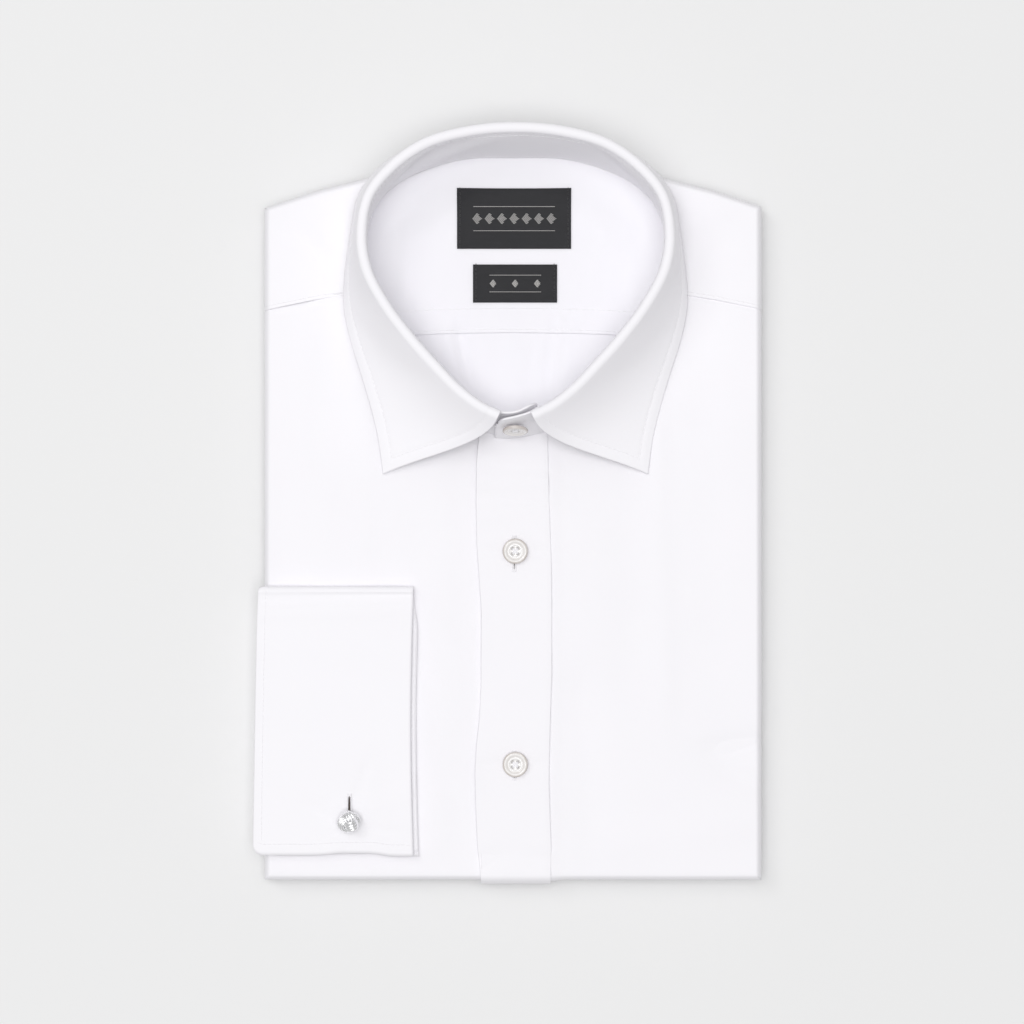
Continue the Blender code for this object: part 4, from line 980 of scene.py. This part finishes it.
def turned_points(outline, sides):
    """A closed turned solid, an (r, z) outline carried round z: its points, its faces and each point's r."""
    turn = np.arange(sides) * 2 * np.pi / sides
    rings = outline[1:-1]
    loops = np.stack((rings[:, :1] * np.cos(turn), rings[:, :1] * np.sin(turn),
                      np.broadcast_to(rings[:, 1:], (len(rings), sides))), -1)
    points = np.concatenate((loops.reshape(-1, 3), [(0, 0, outline[0, 1]), (0, 0, outline[-1, 1])]))
    number = np.arange(len(rings) * sides).reshape(len(rings), sides)
    after = np.roll(number, -1, axis=1)
    faces = np.stack((number[:-1], after[:-1], after[1:], number[1:]), -1).reshape(-1, 4).tolist()
    bottom, top = len(points) - 2, len(points) - 1
    faces += np.stack((after[0], number[0], np.full(sides, bottom)), 1).tolist()
    faces += np.stack((number[-1], after[-1], np.full(sides, top)), 1).tolist()
    radius = np.concatenate((np.repeat(rings[:, 0], sides), (0.0, 0.0)))
    return points, faces, radius


pearl, pearl_nodes, pearl_links, pearl_shader = new_finish("pearl")
pearl_uv = pearl_nodes.new("ShaderNodeUVMap")
pearl_uv.uv_map = "cloth"
pearl_split = pearl_nodes.new("ShaderNodeSeparateXYZ")
pearl_light_ramp = pearl_nodes.new("ShaderNodeValToRGB")
# The ramp paints highlights on the raised ring round the holes and on the rim's top, and shade in the valley
# and down the outer edge.
# pearl colour and painted light: share of the button's radius, red, green and blue
PEARL_AND_PAINTED_LIGHT = ((0.0, 0.86, 0.85, 0.84), (0.42, 0.80, 0.78, 0.77), (0.52, 0.92, 0.91, 0.91),
         (0.62, 0.78, 0.75, 0.73), (0.80, 0.86, 0.84, 0.83), (0.90, 0.66, 0.62, 0.59),
         (1.0, 0.58, 0.53, 0.50))
ramp = pearl_light_ramp.color_ramp
for k, (place, red, green, blue) in enumerate(PEARL_AND_PAINTED_LIGHT):
    stop = ramp.elements[k] if k < 2 else ramp.elements.new(place)
    stop.position = place
    stop.color = (red, green, blue, 1.0)
pearl_cloud = pearl_nodes.new("ShaderNodeTexNoise")
pearl_cloud.inputs["Scale"].default_value = 260.0
pearl_place = pearl_nodes.new("ShaderNodeTexCoord")
pearl_links.new(pearl_place.outputs["Object"], pearl_cloud.inputs["Vector"])
pearl_mix = pearl_nodes.new("ShaderNodeMix")
pearl_mix.data_type = "RGBA"
pearl_mix.blend_type = "OVERLAY"
pearl_mix.inputs[0].default_value = 0.35
pearl_links.new(pearl_uv.outputs["UV"], pearl_split.inputs[0])
pearl_links.new(pearl_split.outputs["X"], pearl_light_ramp.inputs["Fac"])
pearl_links.new(pearl_light_ramp.outputs["Color"], pearl_mix.inputs[6])
pearl_links.new(pearl_cloud.outputs["Fac"], pearl_mix.inputs[7])
pearl_links.new(pearl_mix.outputs[2], pearl_shader.inputs["Base Color"])
pearl_shader.inputs["Roughness"].default_value = 0.22
pearl_shader.inputs["Coat Weight"].default_value = 0.4
pearl_shader.inputs["Coat Roughness"].default_value = 0.12


def dense(outline, pitch):
    """An outline with points no more than a pitch apart."""
    steps = np.linalg.norm(np.diff(outline, axis=0), axis=1)
    at = np.concatenate(([0.0], np.cumsum(steps)))
    where = np.unique(np.concatenate((at, np.arange(0.0, at[-1], pitch))))
    return np.stack((np.interp(where, at, outline[:, 0]), np.interp(where, at, outline[:, 1])), 1)


def add_button(node, name, tilt, back_place):
    """One button with its thread, its back at back_place, leaned forward by tilt about x."""
    points, faces, radius = turned_points(dense(BUTTON_PROFILE, 0.22), 72)
    for hole_x in (-HOLE_AT, HOLE_AT):
        for hole_y in (-HOLE_AT, HOLE_AT):
            away = np.hypot(points[:, 0] - hole_x, points[:, 1] - hole_y)
            points[:, 2] -= 1.0 * smooth((HOLE_R + 0.15 - away) / 0.3) * (points[:, 2] > 1.0)
    lean = np.array(((1.0, 0.0, 0.0), (0.0, math.cos(tilt), -math.sin(tilt)),
                     (0.0, math.sin(tilt), math.cos(tilt))))
    place = np.asarray(back_place)
    uv = np.stack((radius / BUTTON_R, np.zeros(len(radius))), 1)
    add_piece(name, points @ lean.T + place, faces, pearl, (node,), uv=uv)
    strands, headings = [], []
    for heading in (45.0, -45.0):
        run = np.array((math.cos(math.radians(heading)), math.sin(math.radians(heading)), 0.0))
        across = np.array((-run[1], run[0], 0.0))
        for offset in (-0.36, 0.0, 0.36):
            strands.append(across * offset + (0.0, 0.0, 1.52 + 0.1 * (heading < 0)))
            headings.append(run)
    strands, headings = np.array(strands) @ lean.T + place, np.array(headings) @ lean.T
    cross_points, cross_faces = lay_stitches(strands, headings, np.broadcast_to(lean[:, 2], strands.shape),
                                             4.2, 0.42, 0.22)
    add_piece(name + "_thread", cross_points, cross_faces, thread, uv=cross_points[:, :2] * MM)


for number, button_y in enumerate(BUTTONS_Y, 1):
    add_button(f"button_front_{number}", f"placket_button_{number}", 0.0,
               (BUTTON_X, button_y, placket_z + 0.45))

over = BAND_OVER[0]
band_foot = np.array((BUTTON_X, over[1], float(stand_foot_z(over[0], over[1]))))
band_top = np.array((BUTTON_X, over[3], over[4]))
band_lean = math.atan2(band_top[2] - band_foot[2], band_top[1] - band_foot[1])
band_up = np.array((0.0, -math.sin(band_lean), math.cos(band_lean)))
on_band = band_foot + (band_top - band_foot) * BAND_BUTTON_UP
add_button("button_collar", "band_button", band_lean, on_band + band_up * (STAND_WALL + 0.5))
hole_place = on_band + band_up * (STAND_WALL + 0.12) + (-3.0, 0.2, 0.0)
add_buttonhole("buttonhole_band", hole_place, (1.0, 0.0, 0.0), band_up, 10.5, welt=0.8)

# ---- Double cuff ---------------------------------------------------------------------------------
# The right cuff, fused poplin, is turned back on itself and pressed flat with its two long halves
# together: the turned-back ply lies outside the sewn one. It is topstitched along its edges, and one
# buttonhole passes through both halves.
CUFF_WALL = 0.8
CUFF_LOW_Z = low("cuff_turnback", 2)
CUFF_HIGH_Z = high("cuff_turnback", 2)
CUFF_FOLD_Y = high("cuff_turnback", 1)
CUFF_OPEN_Y = -153.9
CUFF_CORNER = 4.5
CUFF_ROLL = 1.3        # the hand-end fold turns down this far to the ply inside
SLIT_HALF = 0.5
SLIT_LOW_Y = -141.8
SLIT_HIGH_Y = -127.2
CUFF_FOLDS = ((-73.0, -140.0, -56.5, -143.5, 2.2, -0.5), (-73.0, -134.0, -67.5, -116.5, 2.6, -0.45),
              (-80.0, -137.0, -90.0, -133.0, 3.5, -0.5), (-76.0, -146.0, -82.0, -151.0, 3.0, 0.35),
              (-66.0, -132.0, -52.0, -128.0, 4.0, 0.35), (-100.0, -60.0, -60.0, -64.0, 9.0, 0.3),
              (-108.0, -100.0, -80.0, -96.0, 9.0, -0.25), (-60.0, -90.0, -56.0, -120.0, 6.0, -0.3),
              (-112.0, -39.5, -50.0, -37.5, 2.8, -0.9), (-110.0, -46.0, -60.0, -44.0, 4.0, 0.35))
cuff_cloth = woven("cuff_cloth", (0.927, 0.915, 0.947), (0.908, 0.896, 0.928))


def cuff_ply(inset, left_at, right_at, open_at, corner, wrinkle):
    """One ply of the cuff as a grid: the top half, round the lengthways fold, and back as the lower half."""
    half = (CUFF_HIGH_Z - CUFF_LOW_Z) / 2
    middle = (CUFF_HIGH_Z + CUFF_LOW_Z) / 2
    radius = half - inset
    start_y = CUFF_FOLD_Y - half
    near_fold = (np.array((SLIT_LOW_Y, SLIT_HIGH_Y)) - CUFF_OPEN_Y) / (start_y - CUFF_OPEN_Y)
    leg = np.concatenate(((0.0, 0.004), np.linspace(0.012, 0.985, 74), (1.0,), near_fold))
    leg = np.unique(leg)[::-1]
    bend = np.radians(np.linspace(90.0, -90.0, 15))[1:-1]
    out = np.concatenate((leg, np.zeros(len(bend)), leg[::-1]))
    side = np.concatenate((np.ones(len(leg)), np.sin(bend), -np.ones(len(leg))))
    below = smooth((1.0 - side) / 2)[:, None]
    left = left_at(out, below[:, 0])[:, None]
    right = right_at(out, below[:, 0])[:, None]
    hole = np.array((LINK_X - SLIT_HALF, LINK_X + SLIT_HALF))
    hole_share = (hole - left.mean()) / (right.mean() - left.mean())
    share = np.unique(np.concatenate((np.linspace(0.0, 0.02, 4), np.linspace(0.03, 0.97, 46),
                                      np.linspace(0.975, 1.0, 9), hole_share)))
    x = left + (right - left) * share
    from_left = np.clip(corner - (x - left), 0.0, corner)
    rounded = corner - np.sqrt(np.maximum(corner**2 - from_left**2, 0.0))
    open_y = open_at(x, below) + rounded
    y = start_y + (open_y - start_y) * out[:, None]
    y = y + (radius * np.cos(np.arcsin(np.clip(side, -1.0, 1.0))))[:, None] * (out == 0.0)[:, None]
    turn = np.clip((x - (right - CUFF_ROLL)) / CUFF_ROLL, 0.0, 1.0)
    drawn = radius - CUFF_ROLL * (1.0 - np.sqrt(1.0 - turn**2)) * (inset == 0.0)
    z = middle + side[:, None] * drawn
    top = smooth(side)[:, None] * (out > 0.0)[:, None]
    z = z + top * wrinkle * folds(x, y, CUFF_FOLDS)
    from_edge = np.minimum(x - left, y - open_y)
    z = z - top * 0.12 * np.exp(-((from_edge - TOPSTITCH_IN / 2) / 0.6) ** 2) * (inset == 0.0)
    return np.stack(np.broadcast_arrays(x, y, z), -1)


def slit_cells(grid):
    """Cells of the cuff grid that lie in the buttonhole's slit."""
    x = (grid[:-1, :-1, 0] + grid[1:, 1:, 0]) / 2
    y = (grid[:-1, :-1, 1] + grid[1:, 1:, 1]) / 2
    return (np.abs(x - LINK_X) < SLIT_HALF) & (y > SLIT_LOW_Y) & (y < SLIT_HIGH_Y)


def turnback_left(out, below):
    """Free edge of the turned-back ply: leans out towards the open end, further in on the lower half."""
    return -115.4 - 2.3 * out**0.7 + 6.6 * below


def turnback_right(out, below):
    """Hand-end fold: bows in a little along the middle, and stands further out on the lower half."""
    return -45.7 - 1.2 * np.sin(np.pi * np.clip(out, 0.0, 1.0)) + 2.2 * below * smooth(out / 0.15)


def turnback_open(x, below):
    """Open end of the turned-back ply: rises a little along its middle, and is lower on the lower half."""
    return CUFF_OPEN_Y + 0.9 * smooth((x + 92.0) / 16.0) - 1.3 * smooth((x + 66.0) / 12.0) - 0.7 * below


turnback_grid = cuff_ply(0.0, turnback_left, turnback_right, turnback_open, CUFF_CORNER, 1.0)
turnback = add_cloth("turned_back_cuff", turnback_grid, CUFF_WALL, cuff_cloth,
                     ("cuff_turnback",), slit_cells(turnback_grid))
inner_left = low("cuff_inner", 0)
inner_cuff_grid = cuff_ply(CUFF_ROLL, lambda out, below: np.full(len(out), inner_left),
                           lambda out, below: turnback_right(out, below) - 0.6,
                           lambda x, below: np.full(x.shape, CUFF_OPEN_Y + 1.2), 1.0, 0.6)
inner_cuff = add_cloth("sewn_cuff", inner_cuff_grid, CUFF_WALL, cuff_cloth, ("cuff_inner",),
                       slit_cells(inner_cuff_grid))
half_rows = int(np.argmax(turnback_grid[:, 5, 1]))
top_half = turnback_grid[:half_rows]
from_open_end = top_half[:, 20, 1] - top_half[0, 20, 1]
open_end_row = np.interp(TOPSTITCH_IN, from_open_end, np.arange(float(half_rows)))
bottom_line = grid_line(top_half, np.full(60, open_end_row), np.linspace(3.5, 58.0, 60))
left_line = grid_line(top_half, np.linspace(4.0, half_rows - 3.0, 90), np.full(90, 5.0))
cuff_sewing = add_stitches("cuff_topstitch", [bottom_line, left_line], thread)
# The cuff's buttonhole, with a dark lens of painted shadow in its slit.
cuff_hole_at = (LINK_X, (SLIT_LOW_Y + SLIT_HIGH_Y) / 2, CUFF_HIGH_Z - 0.05)
cuff_hole, cuff_hole_shadow = add_buttonhole("buttonhole_cuff", cuff_hole_at, (0.0, 1.0, 0.0), (0.0, 0.0, 1.0),
                                           SLIT_HIGH_Y - SLIT_LOW_Y, slit=0.8)

# ---- Right sleeve --------------------------------------------------------------------------------
# The end of the right sleeve, poplin, pleated into the cuff. It turns down round the side of the folded
# pack and tucks in below it.
# sleeve path: x and z
SLEEVE_PATH = np.array([(-106.3, 23.0), (-110.6, 23.0), (-113.8, 22.2), (-115.9, 19.6), (-116.6, 15.6),
                        (-116.8, 10.0), (-116.7, 5.6), (-115.8, 2.8), (-112.8, 0.9), (-108.2, 0.4)])
PLEATS_Y = (-58.0, -66.0, -121.0, -130.0)
SLEEVE_ROWS = 110
SLEEVE_COLUMNS = 44

sleeve_share = np.linspace(0.0, 1.0, SLEEVE_COLUMNS)
sleeve_path = smooth_rows(SLEEVE_PATH, sleeve_share)
sleeve_y = np.linspace(low("sleeve_right", 1), high("sleeve_right", 1), SLEEVE_ROWS)
run = np.gradient(sleeve_path, axis=0)
sideways = unit(np.stack((run[:, 1], -run[:, 0]), -1))
pleating = sum(0.5 * np.exp(-((sleeve_y - y) / 2.2) ** 2) for y in PLEATS_Y)
pleating = pleating + 0.25 * np.sin(sleeve_y / 6.5) - 0.4
fade = smooth(sleeve_share / 0.2) * smooth((1.0 - sleeve_share) / 0.15)
sleeve_grid = np.zeros((SLEEVE_ROWS, SLEEVE_COLUMNS, 3))
sleeve_grid[..., 0] = sleeve_path[:, 0] + sideways[:, 0] * fade * pleating[:, None]
sleeve_grid[..., 1] = sleeve_y[:, None]
sleeve_grid[..., 2] = sleeve_path[:, 1] + sideways[:, 1] * fade * pleating[:, None]
if normals(sleeve_grid)[SLEEVE_ROWS // 2, SLEEVE_COLUMNS // 2, 0] > 0.0:
    sleeve_grid = sleeve_grid[::-1]
sleeve = add_cloth("right_sleeve", sleeve_grid, 0.9, poplin, ("sleeve_right",))

# ---- Cufflink ------------------------------------------------------------------------------------
# A silver-coloured knot: three bundles of four polished strands, each passing over one neighbour and
# under the other. A post goes through the buttonhole to a toggle bar below the cuff.
KNOT_R = 5.4
STRAND_R = 0.66
STRANDS = 4
BUNDLES = ((1, 2), (2, 0), (0, 1))     # long and short way of the ovals round x, y and z
ROUND_OVAL = 64
ROUND_STRAND = 12
KNOT_TURN = (0.55, 0.35, 0.5)
knot_centre = np.array((LINK_X, LINK_Y, (low("cufflink_knot", 2) + high("cufflink_knot", 2)) / 2 + 0.1))

silver, silver_nodes, silver_links, silver_shader = new_finish("silver")
silver_shader.inputs["Base Color"].default_value = (0.93, 0.93, 0.94, 1.0)
silver_shader.inputs["Metallic"].default_value = 0.85
silver_place = silver_nodes.new("ShaderNodeTexCoord")
silver_noise = silver_nodes.new("ShaderNodeTexNoise")
silver_noise.inputs["Scale"].default_value = 900.0
silver_rough = silver_nodes.new("ShaderNodeMapRange")
silver_rough.inputs["To Min"].default_value = 0.16
silver_rough.inputs["To Max"].default_value = 0.30
silver_links.new(silver_place.outputs["Object"], silver_noise.inputs["Vector"])
silver_links.new(silver_noise.outputs["Fac"], silver_rough.inputs["Value"])
silver_links.new(silver_rough.outputs["Result"], silver_shader.inputs["Roughness"])


def turning(angles):
    """Rotation by the three angles about x, then y, then z."""
    a, b, c = angles
    about_x = np.array(((1, 0, 0), (0, math.cos(a), -math.sin(a)), (0, math.sin(a), math.cos(a))))
    about_y = np.array(((math.cos(b), 0, math.sin(b)), (0, 1, 0), (-math.sin(b), 0, math.cos(b))))
    about_z = np.array(((math.cos(c), -math.sin(c), 0), (math.sin(c), math.cos(c), 0), (0, 0, 1)))
    return about_z @ about_y @ about_x


def strand(axis, long_axis, short_axis, offset):
    """One closed strand: an oval about the knot's axis, long one way and short the other, as a round tube."""
    turn = np.arange(ROUND_OVAL) * 2 * np.pi / ROUND_OVAL
    reach = math.sqrt(max((KNOT_R - STRAND_R) ** 2 - offset**2, 1.0))
    path = np.zeros((ROUND_OVAL, 3))
    path[:, axis] = offset
    path[:, long_axis] = reach * np.cos(turn)
    path[:, short_axis] = (reach - 2.1 * STRAND_R) * np.sin(turn)
    along = unit(np.roll(path, -1, axis=0) - np.roll(path, 1, axis=0))
    outwards = unit(path - along * np.sum(path * along, axis=1, keepdims=True))
    side = np.cross(along, outwards)
    ring = np.arange(ROUND_STRAND) * 2 * np.pi / ROUND_STRAND
    tube = (path[:, None] + STRAND_R * (outwards[:, None] * np.cos(ring)[:, None]
                                        + side[:, None] * np.sin(ring)[:, None]))
    number = np.arange(ROUND_OVAL * ROUND_STRAND).reshape(ROUND_OVAL, ROUND_STRAND)
    ahead = np.roll(number, -1, 0)
    faces = np.stack((number, ahead, np.roll(ahead, -1, 1), np.roll(number, -1, 1)), -1).reshape(-1, 4)
    return tube.reshape(-1, 3), faces[:, ::-1].tolist()


knot_strands = []
for axis, (long_axis, short_axis) in enumerate(BUNDLES):
    for k in range(STRANDS):
        offset = (k - (STRANDS - 1) / 2) * STRAND_R * 1.95
        knot_strands.append(strand(axis, long_axis, short_axis, offset))
knot_points, knot_faces = joined(knot_strands)
knot_points = knot_points @ turning(KNOT_TURN).T + knot_centre
add_piece("knot", knot_points, knot_faces, silver, ("cufflink_knot",))


def capsule(radius, start, end, neck):
    """Outline of a round bar with domed ends, as (r, z) points from one end to the other."""
    dome = np.radians(np.linspace(-90.0, 0.0, 9))
    lower = np.stack((radius * np.cos(dome), start + neck + neck * np.sin(dome)), 1)
    upper = np.stack((radius * np.cos(-dome[::-1]), end - neck + neck * np.sin(-dome[::-1])), 1)
    outline = np.concatenate((lower, upper))
    outline[0, 0] = outline[-1, 0] = 0.0
    return outline


post_outline = capsule(1.0, low("cufflink_post", 2), high("cufflink_post", 2) + 1.2, 0.3)
post_points, post_faces, _ = turned_points(post_outline, 24)
add_piece("post", post_points + (LINK_X, LINK_Y, 0.0), post_faces, silver, ("cufflink_post",))
toggle_half = (high("cufflink_toggle", 1) - low("cufflink_toggle", 1)) / 2
bar_points, bar_faces, _ = turned_points(capsule(1.0, -toggle_half, toggle_half, 0.9), 24)
bar_points = bar_points @ np.array(((1.0, 0.0, 0.0), (0.0, 0.0, 1.0), (0.0, -1.0, 0.0)))
toggle_z = (low("cufflink_toggle", 2) + high("cufflink_toggle", 2)) / 2
add_piece("toggle", bar_points + (LINK_X, LINK_Y, toggle_z), bar_faces, silver,
          ("cufflink_toggle",))
